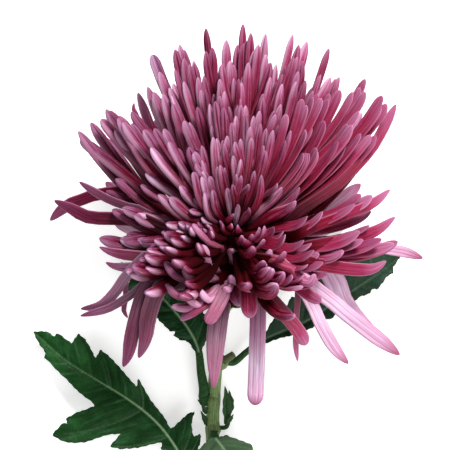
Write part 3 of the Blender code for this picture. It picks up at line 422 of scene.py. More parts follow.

# Each leaf, as in the part: the stalk and midrib from near its knot to the tip, the outline from the left
# of the stalk round the tip to its right, the rise of the blade away from the midrib, the wave along its
# edge in millimetres, the radius of the stalk in millimetres, and how blue and how light its green is; on the
# front leaf the light green is a painted sheen.
LEAVES = {
    "leaf_large_left": {
        "rib": ((-15.2, -85, 4), (-18.6, -77.6, 4.8), (-21.4, -71.2, 5.2), (-27.2, -62.8, 6.2),
            (-34.2, -55.8, 7.4), (-43.1, -49.3, 8.4), (-52.1, -43.8, 8.6), (-64.9, -35.8, 7.2),
            (-77.2, -25.4, 5)),
        "outline": ((-19.8, -78.6), (-24, -74.4), (-27.8, -70.4), (-27.7, -67.9), (-36.9, -69.9),
            (-43.1, -70.3), (-47.6, -69.1), (-43.6, -64.4), (-48.6, -64.6), (-57.3, -67.3),
            (-64.6, -67.1), (-69.9, -64.4), (-65.5, -59.7), (-63.8, -60.1), (-64.6, -58.2),
            (-60.3, -55.8), (-53.8, -53.4), (-54.1, -52.2), (-60.5, -47.3), (-66.5, -41.3),
            (-73.2, -34.8), (-72.8, -33), (-75.5, -29.3), (-77.7, -25), (-72.6, -24.6), (-69.3, -26.6),
            (-68, -25.3), (-62.6, -29.2), (-60, -25.6), (-57.1, -27.8), (-55.1, -31.2), (-53.1, -34.8),
            (-51.4, -31.7), (-47.6, -34.3), (-43.1, -39.1), (-37.3, -45.7), (-36.5, -42.6),
            (-31.8, -51.2), (-26.4, -58.2), (-24, -62.5), (-20.7, -59.7), (-17.8, -56.9), (-14.8, -55.9),
            (-15.8, -59.7), (-15.8, -62.6), (-15, -65.6), (-12.8, -64.4), (-12.3, -66.6), (-13.3, -70),
            (-15.4, -74.6), (-17.6, -78.2)),
        "rise": 0.1, "wave": 0.9, "stalk": 1.5, "blue": 0, "light": 0,
    },
    "leaf_back_left": {
        "rib": ((-11, -50.6, 5.8), (-11.2, -47, 6.8), (-12.3, -40.6, 6.8), (-13.6, -31, 6.6),
            (-18, -22.5, 7.4), (-25.5, -13.5, 8), (-33, -5.5, 7.4), (-42.6, 1.4, 5.8)),
        "outline": ((-14.4, -33), (-17.2, -28.7), (-20.7, -27.8), (-22.9, -26.1), (-22.5, -24.6),
            (-24.4, -24.4), (-28.4, -20.4), (-32.6, -16), (-35.6, -15.6), (-35.8, -11.4), (-41.4, -8.2),
            (-40, -4.6), (-43.4, 2.2), (-36.4, 1.2), (-33.4, 4.4), (-30, -0.4), (-24.6, 1.6),
            (-23.2, -4.8), (-17.4, -3.6), (-16.6, -10.6), (-10.4, -12.2), (-11.4, -17.6), (-6.4, -20.6),
            (-8.2, -25.8), (-10.4, -28.6), (-12.4, -32.8)),
        "rise": 0.16, "wave": 0.9, "stalk": 2.1, "blue": 0.4, "light": 0,
    },
    "leaf_right": {
        "rib": ((1, -36.6, 5.4), (5.6, -32.6, 6.6), (11.3, -28.2, 8.4), (19.4, -24.4, 10.2),
            (28.2, -20.6, 11.6), (43.3, -10.6, 13), (53.8, -3.6, 12.4), (64.4, 4, 10)),
        "outline": ((12, -26.2), (14.5, -21.5), (17.9, -16.9), (20.2, -15.6), (22.5, -10.8),
            (25.4, -11.6), (27, -3.6), (30.6, -5.4), (35, 2.6), (39, 0), (46, 7.6), (49.2, 4.4),
            (56.6, 9.2), (58.4, 6.4), (64.8, 4.4), (62.3, 0.6), (61.8, -2), (59.7, -3.1), (56.1, -7.7),
            (53.5, -8.2), (52.5, -9.8), (48.4, -11.3), (44.4, -15.4), (41.6, -15.2), (37.9, -19.6),
            (34, -19.4), (30.8, -22.9), (24.1, -25.5), (17.6, -27.4), (12.6, -29.2)),
        "rise": 0.3, "wave": 0.8, "stalk": 1.2, "blue": 1, "light": 0.1,
    },
    "leaf_front": {
        "rib": ((-6.8, -65.4, 9.6), (-3.2, -70.2, 10.8), (2.6, -78.4, 11.8), (8.2, -88, 10.4),
            (12.6, -97, 7), (15.4, -104, 3.4)),
        "outline": ((-9.4, -65.8), (-10.8, -67.8), (-13.6, -70.6), (-12, -73), (-12.8, -78.8),
            (-7.8, -79.6), (-7.6, -86.4), (-2, -86), (0, -93.4), (4.4, -92.4), (8.4, -100), (11.2, -99.4),
            (15.8, -104.6), (17.8, -98), (16.6, -94.8), (20.2, -90.4), (16.6, -86.4), (19, -80.6),
            (14, -77.8), (12.2, -71.4), (8, -71), (7.6, -68.2), (2.4, -66.4), (-2.6, -64.4),
            (-4.6, -65.2)),
        # The light green of this leaf is a painted sheen.
        "rise": 0.1, "wave": 0.7, "stalk": 1.3, "blue": 0.3, "light": 0.5,
    },
}

# The young side shoot: its stalk, and its folded leaves and the scales beside it as controls and width in
# millimetres.
SHOOT_STALK = ((-2.4, -62.0, 3.8), (-1.6, -58.6, 4.2), (-2.0, -54.6, 4.6))
SHOOT_RADIUS = 0.9 * MM
SHOOT_FACE = Vector((0.3, 0, 1))
SHOOT_STALK_TONE = {"vein": 0.2, "under": 0, "stalk": 1, "blue": 0, "light": 0}
YOUNG_LEAF_TONE = {"vein": 0.1, "under": 0, "stalk": 0.4, "blue": 0, "light": 0.3}
SHOOT_LEAVES = (
    (((-2.8, -61.0, 4.4), (-2.0, -54.0, 5.2), (-3.1, -45.8, 5.6)), 4.2),
    (((-1.8, -58.6, 4.0), (-0.6, -53.0, 4.4), (-1.5, -47.4, 4.8)), 3.2),
    (((-2.4, -60.8, 5.0), (-0.8, -58.4, 5.8), (0.4, -56.8, 6.2)), 1.8),
    (((-9.0, -53.2, 3.0), (-11.6, -53.4, 3.6), (-13.8, -51.4, 3.8)), 2.6),
    (((-9.0, -56.2, 3.0), (-10.8, -56.2, 3.6), (-12.2, -53.6, 3.8)), 3.0),
    (((-9.2, -62.4, 3.2), (-10.6, -60.0, 3.8), (-12.6, -55.6, 4.2)), 2.6),
)

# The colours of a floret from its root (0) to its tip (1): on its inner face, outside, and where it paled.
# Their near-black lower part is painted shade deep in the head; the crimson and the pale tip are the floret's
# own colour, the tip made paler still as a painted highlight.
INSIDE_RAMP = (
    (0.0, (0.026, 0.0003, 0.0008)), (0.4, (0.070, 0.0008, 0.0035)), (0.68, (0.27, 0.010, 0.044)),
    (0.86, (0.36, 0.033, 0.103)), (0.98, (0.50, 0.175, 0.32)),
)
OUTSIDE_RAMP = (
    (0.0, (0.028, 0.0004, 0.0012)), (0.4, (0.090, 0.0018, 0.008)), (0.68, (0.29, 0.013, 0.052)),
    (0.86, (0.39, 0.063, 0.160)), (0.98, (0.60, 0.33, 0.50)),
)
FADED_RAMP = (
    (0.0, (0.09, 0.005, 0.022)), (0.35, (0.58, 0.30, 0.46)), (0.6, (0.84, 0.66, 0.83)),
    (0.88, (0.72, 0.46, 0.64)), (1.0, (0.32, 0.05, 0.13)),
)
# How far a floret turns purple, partly its own colour and partly painted shade, and the tints of its plain
# and its pale colour there.
PURPLE_AND_SHADE_SHARE = 0.8
PURPLE_AND_SHADE_TINT = (0.43, 0.37, 0.46)
FADED_PURPLE_AND_SHADE_TINT = (0.30, 0.36, 0.40)
# The layers below are laid over a colour: the factors of each, how it blends, and its colour. Each factor
# holds the name of a value and, if it is remapped, from where to where it runs and what it becomes at both
# ends. "wide" is the distance from the middle line of a floret, from 0 to its edge at 1, and "flat" how far
# it lies open.
# The inner face shows in the slit of a closed floret, in some more than in others.
SLIT = [("wide", 0.1, 0.3, 1, 0), ("grow", 0.3, 0.7, 0.15, 1)]
# The streaks: how close they lie across and along a floret, how far the patterns of two florets lie apart,
# and the scale, detail and roughness of the noise.
STREAK_ACROSS = 5.5
STREAK_ALONG = 1.8
STREAK_APART = 61.0
STREAK_NOISE = (2.4, 3.0, 0.65)
# The veins: the distance from the middle, the half width and the strength of each.
PETAL_VEINS = ((0.34, 0.09, 0.75), (0.72, 0.08, 0.12))
# The rim of a plain floret, a painted highlight, and the darker crimson rim of a pale one.
RIM_COLOURS = ((0.62, 0.34, 0.48), (0.36, 0.07, 0.17))
# Painted glints and dark streaks, the veins of an open floret, painted shade on the right side of a closed
# one and painted light on its left, the rim of an open one, partly a painted highlight, and how much darker
# some florets are.
PETAL_LAYERS = (
    # Painted glints: pale highlights between the streaks, towards the tip.
    ([("streaks", 0.36, 0.44, 0.38, 0), ("along", 0.45, 0.9, 0, 1), ("flat", 0, 1, 1, 0.4)],
     "MIX", (0.72, 0.51, 0.68)),
    ([("streaks", 0.42, 0.60, 0, 0.75), ("flat", 0, 1, 1, 0.65)], "MULTIPLY", (0.48, 0.24, 0.37)),
    ([("veins",), ("flat",), ("along", 0.2, 0.95, 1, 0.5)], "MULTIPLY", (0.45, 0.15, 0.28)),
    # Painted shade on the right side of a closed floret, and painted light on its left.
    ([("across", 0.25, 0.9, 0, 0.7), ("flat", 0, 1, 1, 0)], "MULTIPLY", (0.58, 0.30, 0.40)),
    ([("across", -0.3, -0.8, 0, 0.6), ("along", 0.55, 0.92, 0, 1), ("flat", 0, 1, 1, 0),
      ("grow", 0.2, 0.9, 1, 0.2)], "MIX", (0.76, 0.49, 0.68)),
    # The rim of an open floret: a painted highlight on a plain one, a darker crimson edge on a pale one.
    ([("wide", 0.78, 1, 0, 0.45), ("along", 0.2, 0.8, 0, 1), ("flat",)], "MIX", "rim"),
    ([("grow", 0.1, 1, 0, 0.8), ("pale", 0, 1, 1, 0.15)], "MULTIPLY", (0.62, 0.37, 0.48)),
)
PETAL_ROUGHNESS = [("along", 0, 0.6, 1, 0.5)]
PETAL_SURFACE = {
    "Specular IOR Level": 0.05, "Subsurface Weight": 0.12, "Subsurface Radius": (1.0, 0.35, 0.5),
    "Subsurface Scale": 0.0015,
}
PETAL_BUMP = (0.25, 0.4 * MM)

# The leaves: noises by name with their scale and detail, the net of small veins, and the painted light and
# shade of the slanting folds.
LEAF_NOISES = (("mottle", 170.0, 4.0), ("grain", 1400.0, 3.0), ("patches", 55.0, 2.0))
LEAF_RAMP = ((0.3, (0.003, 0.027, 0.004)), (0.5, (0.006, 0.043, 0.007)), (0.7, (0.012, 0.072, 0.014)))
NET_SCALE = 620.0
NET_LINE = (0, 0.12, 1, 0)
NET_HEIGHT = -0.6
FOLD_SHADING_ALONG = 38.0
FOLD_SHADING_SLANT = 3.4
FOLD_SHADING_AROUND = 0.9
FOLD_SHADING_NOISE = (0.9, 3.0)
VEIN_POWER = 1.4
STALK_GRAIN = [("grain", 0.35, 0.65, 0, 1)]
STALK_COLOURS = ((0.010, 0.045, 0.012), (0.035, 0.095, 0.030))
# Patches, the net, painted light and painted shade along the folds, a blue leaf, grain, a light leaf (on the
# front leaf a painted sheen), its veins, its underside and its stalk.
LEAF_LAYERS = (
    ([("patches", 0.45, 0.7, 0, 0.35)], "MIX", (0.018, 0.090, 0.024)),
    ([("net", 0, 1, 0, 0.2)], "MIX", (0.020, 0.085, 0.024)),
    # Painted light along the folds.
    ([("fold_shading", 0.56, 0.70, 0, 0.6)], "MIX", (0.040, 0.125, 0.048)),
    # Painted shade along the folds.
    ([("fold_shading", 0.46, 0.34, 0, 0.6)], "MIX", (0.003, 0.020, 0.004)),
    ([("blue",)], "MULTIPLY", (0.60, 0.42, 1.25)),
    ([("grain", 0.4, 0.7, 0, 0.4)], "MIX", (0.004, 0.022, 0.006)),
    ([("light",)], "MIX", (0.105, 0.175, 0.090)),
    ([("vein_line",), ("along", 0.4, 0.85, 0.95, 0.15), ("blue", 0, 1, 1, 0.35)], "MIX", (0.30, 0.46, 0.26)),
    ([("under", 0, 1, 0, 0.6)], "MIX", (0.06, 0.11, 0.055)),
    ([("stalk",)], "MIX", "stalk_side"),
)
LEAF_SURFACE = {"Roughness": 0.4, "Specular IOR Level": 0.08}
LEAF_BUMP = (0.5, 0.3 * MM)

# The stem: streaks round and along it, specks, and the colours of a wound.
STREAK_ROUND = 3.0
STREAK_UP = 60.0
STEM_NOISE = (2.4, 4.0)
SPECKS_NOISE = (900.0, 3.0)
SPECKS_HEIGHT = 0.5
STEM_RAMP = ((0.3, (0.085, 0.165, 0.045)), (0.5, (0.16, 0.26, 0.085)), (0.7, (0.27, 0.37, 0.15)))
WOUND_SPECKS = [("specks", 0.4, 0.6, 0, 1)]
WOUND_COLOURS = ((0.10, 0.085, 0.030), (0.06, 0.10, 0.03))
STEM_LAYERS = (
    ([("specks", 0.5, 0.75, 0, 0.6)], "MIX", (0.035, 0.060, 0.018)),
    ([("scar",)], "MIX", "wound"),
    ([("hair",)], "MIX", (0.35, 0.42, 0.27)),
)
STEM_SURFACE = {"Roughness": 0.55, "Specular IOR Level": 0.3}
STEM_BUMP = (0.4, 0.3 * MM)

# The bracts: green, with a dry margin and a paler middle line.
BRACT_NOISE = (1100.0, 4.0)
BRACT_RAMP = ((0.3, (0.012, 0.05, 0.014)), (0.7, (0.04, 0.11, 0.035)))
BRACT_MARGIN = (("around", 0.62, 0.92, 0, 1), ("along", 0.85, 0.98, 0, 1))
BRACT_LAYERS = (
    ([("margin",)], "MIX", (0.20, 0.14, 0.07)),
    ([("around", 0, 0.14, 0.5, 0)], "MIX", (0.09, 0.17, 0.07)),
)
BRACT_SURFACE = {"Roughness": 0.6, "Specular IOR Level": 0.3}

# The floor reaches this far to each side. Each light has its place, the point that it faces, its width and
# its power.
WHITE = (1, 1, 1, 1)
FLOOR_SIZE = 3.0
FLOOR_SURFACE = {
    "Base Color": (0.80, 0.80, 0.80, 1), "Roughness": 0.9, "Emission Color": WHITE, "Emission Strength": 0.52,
}
WORLD_LIGHT = 0.45
LIGHTS = (
    ("key", (0.30, 0.72, 0.88), (0, 0.02, 0.03), 0.3, 18.5),
    ("fill", (0.5, -0.7, 0.75), (0, 0, 0.03), 0.8, 7),
)

# The camera looks straight down, with its lens and sensor in millimetres.
CAMERA_PLACE = (0.00143, 0.0305, 0.748)
CAMERA_LENS = 152.5
SENSOR = 36


def lerp(start, end, share):
    return start + (end - start) * share


def direction(polar, azimuth):
    """Unit vector at a polar angle from the head's axis, with azimuth 0 at the back and 90 at the right."""
    around = math.cos(azimuth) * BACK + math.sin(azimuth) * RIGHT
    return math.cos(polar) * AXIS + math.sin(polar) * around


def from_head(point):
    """A point in millimetres from the head centre."""
    return HEAD_CENTRE + Vector(point) * MM


def on_table(point):
    """A point in millimetres in plan from the head centre, and its height above the table."""
    x, y, z = point
    return Vector((HEAD_CENTRE.x + x * MM, HEAD_CENTRE.y + y * MM, z * MM))


def curve(controls):
    """A line of points along the Bezier curve with these control points."""
    return [curve_point(controls, step / CURVE_STEPS) for step in range(CURVE_STEPS + 1)]


def curve_point(controls, share):
    """A point on the Bezier curve with these control points."""
    while len(controls) > 1:
        controls = [a.lerp(b, share) for a, b in zip(controls, controls[1:])]
    return controls[0]


def smooth_path(points, steps):
    """A smooth line through the points, with some steps between each two."""
    ends = [2 * points[0] - points[1], *points, 2 * points[-1] - points[-2]]
    line = []
    for before, start, end, after in zip(ends, ends[1:], ends[2:], ends[3:]):
        for step in range(steps):
            t = step / steps
            line.append(0.5 * (2 * start + (end - before) * t
                               + (2 * before - 5 * start + 4 * end - after) * t ** 2
                               + (3 * start - before - 3 * end + after) * t ** 3))
    return line + [points[-1]]


def walk(line, shares):
    """The points at these shares of the length of a line of points, and its length."""
    lengths = [0.0]
    for before, after in zip(line, line[1:]):
        lengths.append(lengths[-1] + (after - before).length)
    points = []
    index = 0
    for share in shares:
        while index < len(line) - 2 and lengths[index + 1] < share * lengths[-1]:
            index += 1
        part = (share * lengths[-1] - lengths[index]) / (lengths[index + 1] - lengths[index])
        points.append(line[index].lerp(line[index + 1], part))
    return points, lengths[-1]


def new_object(name, data):
    """An object of the scene with this data."""
    item = bpy.data.objects.new(name, data)
    bpy.context.scene.collection.objects.link(item)
    return item


class Surface:
    """Collects points, faces and named values at the points, and turns them into one piece."""

    def __init__(self):
        self.points = []
        self.faces = []
        self.values = {}

    def add(self, points, faces, **values):
        """Points and faces, with named values: a list with one for each point, or one number for them all."""
        offset = len(self.points)
        self.points.extend(points)
        self.faces.extend([tuple(offset + corner for corner in face) for face in faces])
        for name, numbers in values.items():
            listed = numbers if isinstance(numbers, list) else [numbers] * len(points)
            self.values.setdefault(name, []).extend(listed)

    def add_body(self, rings, tip, **values):
        """A closed body through rings of points, ending in a tip point."""
        count = len(rings[0])
        last = (len(rings) - 1) * count
        faces = [tuple(reversed(range(count)))]
        for start in range(0, last, count):
            for here in range(count):
                after = (here + 1) % count
                faces.append((start + here, start + after, start + count + after, start + count + here))
        for here in range(count):
            faces.append((last + here, last + (here + 1) % count, last + count))
        self.add([point for ring in rings for point in ring] + [tip], faces, **values)

    def piece(self, name, material, nodes):
        """The surface as one piece of the part, in place of these nodes."""
        mesh = bpy.data.meshes.new(name)
        mesh.from_pydata(self.points, [], self.faces)
        for key, numbers in self.values.items():
            attribute = mesh.attributes.new(key, "FLOAT", "POINT")
            attribute.data.foreach_set("value", np.array(numbers, np.float32))
        mesh.shade_smooth()
        mesh.materials.append(material)
        item = new_object(name, mesh)
        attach(item, "root")
        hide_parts(*nodes)
        return item


def by_azimuth(table, azimuth):
    """The two values of a table at an azimuth, eased between its rows."""
    degrees = math.degrees(azimuth) % 360
    for (start, *before), (end, *after) in zip(table, table[1:]):
        if start <= degrees <= end:
            share = (degrees - start) / (end - start)
            share = share * share * (3 - 2 * share)
            return [lerp(a, b, share) for a, b in zip(before, after)]
    return list(table[0][1:])


def degrees_from(middle, azimuth):
    """How far an azimuth lies from a middle in degrees, to either side."""
    return (math.degrees(azimuth) - middle + 180) % 360 - 180


def part_azimuth(azimuth, share):
    """Move a floret sideways out of the head's partings."""
    for middle, half, start in PARTINGS:
        away = degrees_from(middle, azimuth)
        if abs(away) < half and share > start:
            azimuth += math.radians(math.copysign(half, away) - away)
    return azimuth


def open_valley(azimuth, share):
    """Push a floret of the front sideways, out of the dark valley."""
    middle, half, width = VALLEY
    away = degrees_from(middle, azimuth)
    start, open_from, open_to, end = VALLEY_SHARES
    opening = min(1, max(0, (share - start) / (open_from - start)), max(0, (end - share) / (end - open_to)))
    if abs(away) >= width or opening == 0:
        return azimuth
    pushed = half + abs(away) * (width - half) / width
    return azimuth + math.radians(opening * (math.copysign(pushed, away) - away))


def rim_shares(count):
    """Share of the way from the middle to the rim for each floret, closer together in the middle."""
    filled = [0.0]
    for step in range(FILL_STEPS):
        share = (step + 0.5) / FILL_STEPS
        reach = lerp(INNER_REACH, TYPICAL_REACH, share ** REACH_POWER)
        area = reach ** 2 * math.sin(share * FILL_POLAR) / lerp(*SPACING, share) ** 2
        filled.append(filled[-1] + area)
    shares = []
    step = 0
    for index in range(count):
        target = (index + 0.5) / count * filled[-1]
        while filled[step + 1] < target:
            step += 1
        part = (target - filled[step]) / (filled[step + 1] - filled[step])
        shares.append((step + part) / FILL_STEPS)
    return shares


def soft_floor(point):
    """The point, held softly above the table."""
    height = (point.z - FLOOR_SPINE) / FLOOR_SOFTNESS
    lifted = FLOOR_SPINE + FLOOR_SOFTNESS * math.log1p(math.exp(height)) if height < SOFT_LIMIT else point.z
    return Vector((point.x, point.y, lifted))


def into_tip(share, tip_share):
    """How far a share of the length lies in the tip, from its start to the end."""
    return max(0, (share - 1 + tip_share) / tip_share)


def outline_share(share, look, tip_share):
    """Width of a floret at a share of its length: narrow at the root, widest at full, round at the tip."""
    grown = min(1, share / look["full"])
    width = lerp(look["narrow"], 1, grown * (2 - grown))
    if share > 1 - tip_share:
        width *= max(0, 1 - into_tip(share, tip_share) ** look["tip_power"]) ** TIP_FULLNESS
    return width


def section_height(look, u, inner, fold):
    """Height of a floret's section across it, as a share of its width: two rims with grooves between them."""
    dome = math.sqrt(max(0, 1 - u * u))
    if not inner:
        return -look["belly"] * dome
    grooves = sum(math.exp(-((u - middle) / look["groove_width"]) ** 2) for middle in look["grooves"])
    return look["rim"] * dome - fold * look["groove"] * grooves


def blade_frame(run, face):
    """The directions up from and across a blade that runs and faces like this."""
    along = run.normalized()
    up = (face - face.dot(along) * along).normalized()
    return up, along.cross(up)


def floret_spine(middles, face, sway, hook, on_floor):
    """The points along the middle of a floret, swayed to its side and hooked towards its face."""
    spine = []
    for point, share in zip(middles, (*STATIONS, 1)):
        bent = max(0, (share - HOOK_START) / (1 - HOOK_START)) ** 2 * hook
        point = point + face * bent + sway * math.sin(math.pi * share) ** 2
        spine.append(soft_floor(point) if on_floor else point)
    return spine


def add_floret(surface, line, face, width, look, draw, tone, hook=0.0, shadow=1.0, tip_light=1.0, on_floor=False):
    """One ray floret. The look holds its outline, its section and how unevenly it grows, and the tone how
    far it has paled and turned purple, partly as painted shade. Its colour runs from the root, darkened by
    painted shade as far as the shadow says, to the pale tip, which the tip light reaches in full only where
    no painted shade dims it."""
    middles, length = walk(line, (*STATIONS, 1))
    tip_share = min(TIP_LONGEST, look["tip"] * draw.uniform(*TIP_CHANGE) * width / length)
    side = (line[-1] - line[0]).cross(face).normalized()
    spine = floret_spine(middles, face, side * (draw.gauss(0, look["sway"]) * MM), hook, on_floor)
    twist = draw.gauss(0, look["twist"])
    grow = draw.random()
    columns = [(u, 1.0) for u in look["inner_points"]] + [(u, 0.0) for u in look["outer_points"]]
    rings = []
    along = []
    for index, share in enumerate(STATIONS):
        up, side = blade_frame(spine[index + 1] - spine[max(index - 1, 0)], face)
        turn = twist * share
        up, side = up * math.cos(turn) + side * math.sin(turn), side * math.cos(turn) - up * math.sin(turn)
        wide = width * outline_share(share, look, tip_share)
        fold = lerp(*GROOVE_RANGE, grow) * (1 - into_tip(share, tip_share) ** GROOVE_END)
        rings.append([spine[index] + side * u * wide / 2 + up * (section_height(look, u, inner, fold) * wide)
                      for u, inner in columns])
        along += [tip_light * share ** shadow] * len(columns)
    across, inner = ([column[row] for column in columns] * len(STATIONS) for row in (0, 1))
    surface.add_body(rings, spine[-1], along=along + [tip_light], across=across + [0.0], inner=inner + [0.5],
                     grow=grow, flat=look["flat"], pale=tone[0], cool=tone[1])


def add_core(surface):
    """The crowded feet of the florets, as one rounded body that they stand on, painted near black as shade.
    """
    rings = [[HEAD_CENTRE + direction(math.radians(degrees), -2 * math.pi * side / CORE_SIDES) * radius * MM
              for side in range(CORE_SIDES)] for degrees, radius in reversed(CORE[1:])]
    surface.add_body(rings, HEAD_CENTRE + AXIS * CORE[0][1] * MM, along=0, across=0, inner=0, grow=0, flat=0,
                     pale=0, cool=0)


def at_front(azimuth):
    """How far an azimuth lies at the front, from 0 at the sides to 1."""
    return max(0, -math.cos(azimuth))


def at_back(azimuth):
    """How far an azimuth lies at the back, from 0 at the sides to 1."""
    return max(0, math.cos(azimuth))


def dense_look(azimuth, share):
    """The florets open flat at the right, have rounder tips at the front and left, and points at the back."""
    front = at_front(azimuth)
    if math.sin(azimuth) > OPEN_RIGHT and share > lerp(*OPEN_FROM, min(1, OPEN_TURN * front)):
        return OPEN_LOOK
    if front > 0 or math.sin(azimuth) < ROUND_LEFT:
        return FRONT_LOOK
    return DENSE_LOOK


def purple_and_shade_by_azimuth(azimuth):
    """How far a floret has turned from crimson to purple, partly its own colour and partly painted shade."""
    return (0.5 - 0.5 * math.sin(azimuth - PURPLE_AND_SHADE_TURN)) ** PURPLE_AND_SHADE_POWER


def root_shade(azimuth):
    """How soon painted shade darkens the colour of a floret towards its root, less where painted light falls.
    """
    side = math.sin(azimuth)
    power = 1 + FRONT_SHADOW * at_front(azimuth) * (1 - (RIGHT_LIGHT if side > 0 else LEFT_SHADE) * side)
    return power - LEFT_LIGHT * (max(0, -side) * at_back(azimuth)) ** 2 - SIDE_LIGHT * max(0, side) ** 2


def floret_root(centre, polar, azimuth):
    """Where a floret starts, on a small ball round the centre."""
    return centre + direction(min(polar, ROOT_POLAR_MAX), azimuth) * ROOT_RADIUS


def add_dense_floret(surface, azimuth, share, wider, draw):
    """A floret of the spiral, curved out from its root and hooked back to the axis at its tip."""
    rim_polar, rim_reach = by_azimuth(RIM, azimuth)
    tip_polar = math.radians(share * rim_polar + draw.gauss(0, POLAR_SPREAD))
    reach = lerp(INNER_REACH, rim_reach * MM, share ** REACH_POWER) * (1 + draw.uniform(*REACH_CHANGE))
    root = floret_root(ROOT_CENTRE, tip_polar, azimuth)
    tip = HEAD_CENTRE + direction(tip_polar, azimuth) * reach
    run = tip - root
    face = (AXIS - AXIS.project(run)).normalized()
    bulge = lerp(*FLORET_BULGE, share) * (1 + draw.uniform(-BULGE_CHANGE, BULGE_CHANGE))
    bend = root + BEND_SHARE * run - bulge * run.length * face
    everywhere, front, right = HOOK
    hook = everywhere + front * at_front(azimuth) + right * max(0, math.sin(azimuth)) ** 2
    width = lerp(*FLORET_WIDTH, share) * wider * draw.uniform(*WIDTH_CHANGE)
    # Some florets at the back of the middle are paler, partly as a painted highlight.
    pale = PALE_AND_HIGHLIT_MIDDLE * draw.random() ** PALE_POWER * at_back(azimuth) * max(0, 1 - share / PALE_REACH)
    # Painted shade: the tips at the back of the rim stop short of their pale colour.
    tip_light = 1 - TIP_SHADE * share ** 2 * at_back(azimuth - TIP_SHADE_MIDDLE)
    add_floret(surface, curve([root, bend, tip]), face, width, dense_look(azimuth, share), draw,
               (pale, purple_and_shade_by_azimuth(azimuth)), hook * math.sqrt(share) * MM, root_shade(azimuth), tip_light)


def build_dense_florets(material):
    surface = Surface()
    add_core(surface)
    draw = random.Random(SEED)
    for index, share in enumerate(rim_shares(FLORET_COUNT)):
        turn = (index * GOLDEN_ANGLE + draw.gauss(0, AZIMUTH_SPREAD)) % (2 * math.pi)
        azimuth = part_azimuth(turn - BACK_SHARE * math.sin(turn), share)
        azimuth = open_valley(azimuth, share)
        kept, wider = by_azimuth(CROWDING, azimuth)
        outward = min(1, share / CROWDING_FULL)
        if draw.random() <= lerp(1, kept, outward):
            add_dense_floret(surface, azimuth, share, lerp(1, wider, outward), draw)
    return surface.piece("dense_florets", material, ["bloom"])


def build_old_florets(material):
    """The outer, blunt and curled florets along their own paths."""
    surface = Surface()
    draw = random.Random(SEED + 3)
    for look, table, shadow in PATH_FLORETS:
        for azimuth, polar, path, width, pale, cool in table:
            root = floret_root(HEAD_CENTRE, math.radians(polar), math.radians(azimuth))
            line = smooth_path([root, *(from_head(point) for point in path)], CURVE_STEPS)
            run = line[-1] - root
            face = (AXIS - AXIS.project(run)).normalized() if look is CURLED_LOOK else OLD_FACE
            add_floret(surface, line, face, width * MM, look, draw, (pale, cool), shadow=shadow)
    return surface.piece("old_florets", material, ["bloom"])


def add_under_florets(surface):
    """The rows under the back of the rim."""
    draw = random.Random(SEED + 1)
    azimuth_spread, polar_spread = UNDER_SPREAD
    for count, first, last, polar, reach in UNDER_ROWS:
        for index in range(count):
            azimuth = math.radians(lerp(first, last, index / (count - 1)) + draw.gauss(0, azimuth_spread))
            azimuth = part_azimuth(azimuth, 1)
            tip_polar = math.radians(polar + draw.gauss(0, polar_spread))
            controls = [
                floret_root(HEAD_CENTRE, ROOT_POLAR_MAX, azimuth),
                HEAD_CENTRE + direction(tip_polar + UNDER_BEND, azimuth) * BEND_SHARE * reach * MM,
                HEAD_CENTRE + direction(tip_polar, azimuth) * reach * MM,
            ]
            face = direction(tip_polar + UNDER_FACE, azimuth)
            add_floret(surface, curve(controls), face, UNDER_WIDTH, DENSE_LOOK, draw, (0, purple_and_shade_by_azimuth(azimuth)),
                       shadow=root_shade(azimuth), on_floor=True)


def add_rest_florets(surface):
    """The reflexed florets that the head rests on."""
    draw = random.Random(SEED + 2)
    for index in range(REST_COUNT):
        share = index / (REST_COUNT - 1)
        azimuth = lerp(-REST_SIDE, REST_SIDE, share) + draw.gauss(0, REST_JITTER)
        distance = REST_DISTANCE[index % 2]
        root = floret_root(HEAD_CENTRE, ROOT_POLAR_MAX, azimuth)
        bend = HEAD_CENTRE + direction(REST_POLAR, azimuth) * REST_BEND
        tip = Vector((HEAD_CENTRE.x + math.sin(azimuth) * distance,
                      HEAD_CENTRE.y + math.cos(azimuth) * distance, -REST_DEPTH))
        away = Vector((math.sin(azimuth), math.cos(azimuth), REST_FACE_RISE))
        add_floret(surface, curve([root, bend, tip]), away, REST_WIDTH, OLD_LOOK, random.Random(index),
                   REST_TONE, on_floor=True)


def build_under_florets(material):
    surface = Surface()
    add_under_florets(surface)
    add_rest_florets(surface)
    return surface.piece("under_florets", material, ["bloom"])


def from_knot(name, points):
    """The points on the table, led by a seat on the knot."""
    centre, radius = KNOTS[name]
    centre = on_table(centre)
    line = [on_table(point) for point in points]
    return [centre + (line[0] - centre).normalized() * radius * MM * SEAT_SHARE, *line]


def add_tube(surface, line, radii, flat=1.0, sides=STALK_SIDES, ridges=0, **fixed):
    """A tube along the line, flattened up and down, with ridges, held above the table."""
    rings = []
    along = []
    travelled = 0.0
    for index, (point, radius) in enumerate(zip(line, radii)):
        before, after = line[max(index - 1, 0)], line[min(index + 1, len(line) - 1)]
        run = (after - before).normalized()
        side = run.cross(UP).normalized()
        up = side.cross(run)
        travelled += (point - before).length
        ring = []
        for step in range(sides):
            turn = 2 * math.pi * step / sides
            reach = radius * (1 + STEM_RIDGE * math.cos(ridges * turn)) if ridges else radius
            place = point + side * math.cos(turn) * reach + up * math.sin(turn) * reach * flat
            place.z = max(place.z, STEM_LOWEST)
            ring.append(place)
        rings.append(ring)
        along += [travelled] * sides
    around = [step / sides for step in range(sides)] * len(rings) + [0.0]
    surface.add_body(rings, line[-1], along=along + [travelled], around=around, **fixed)


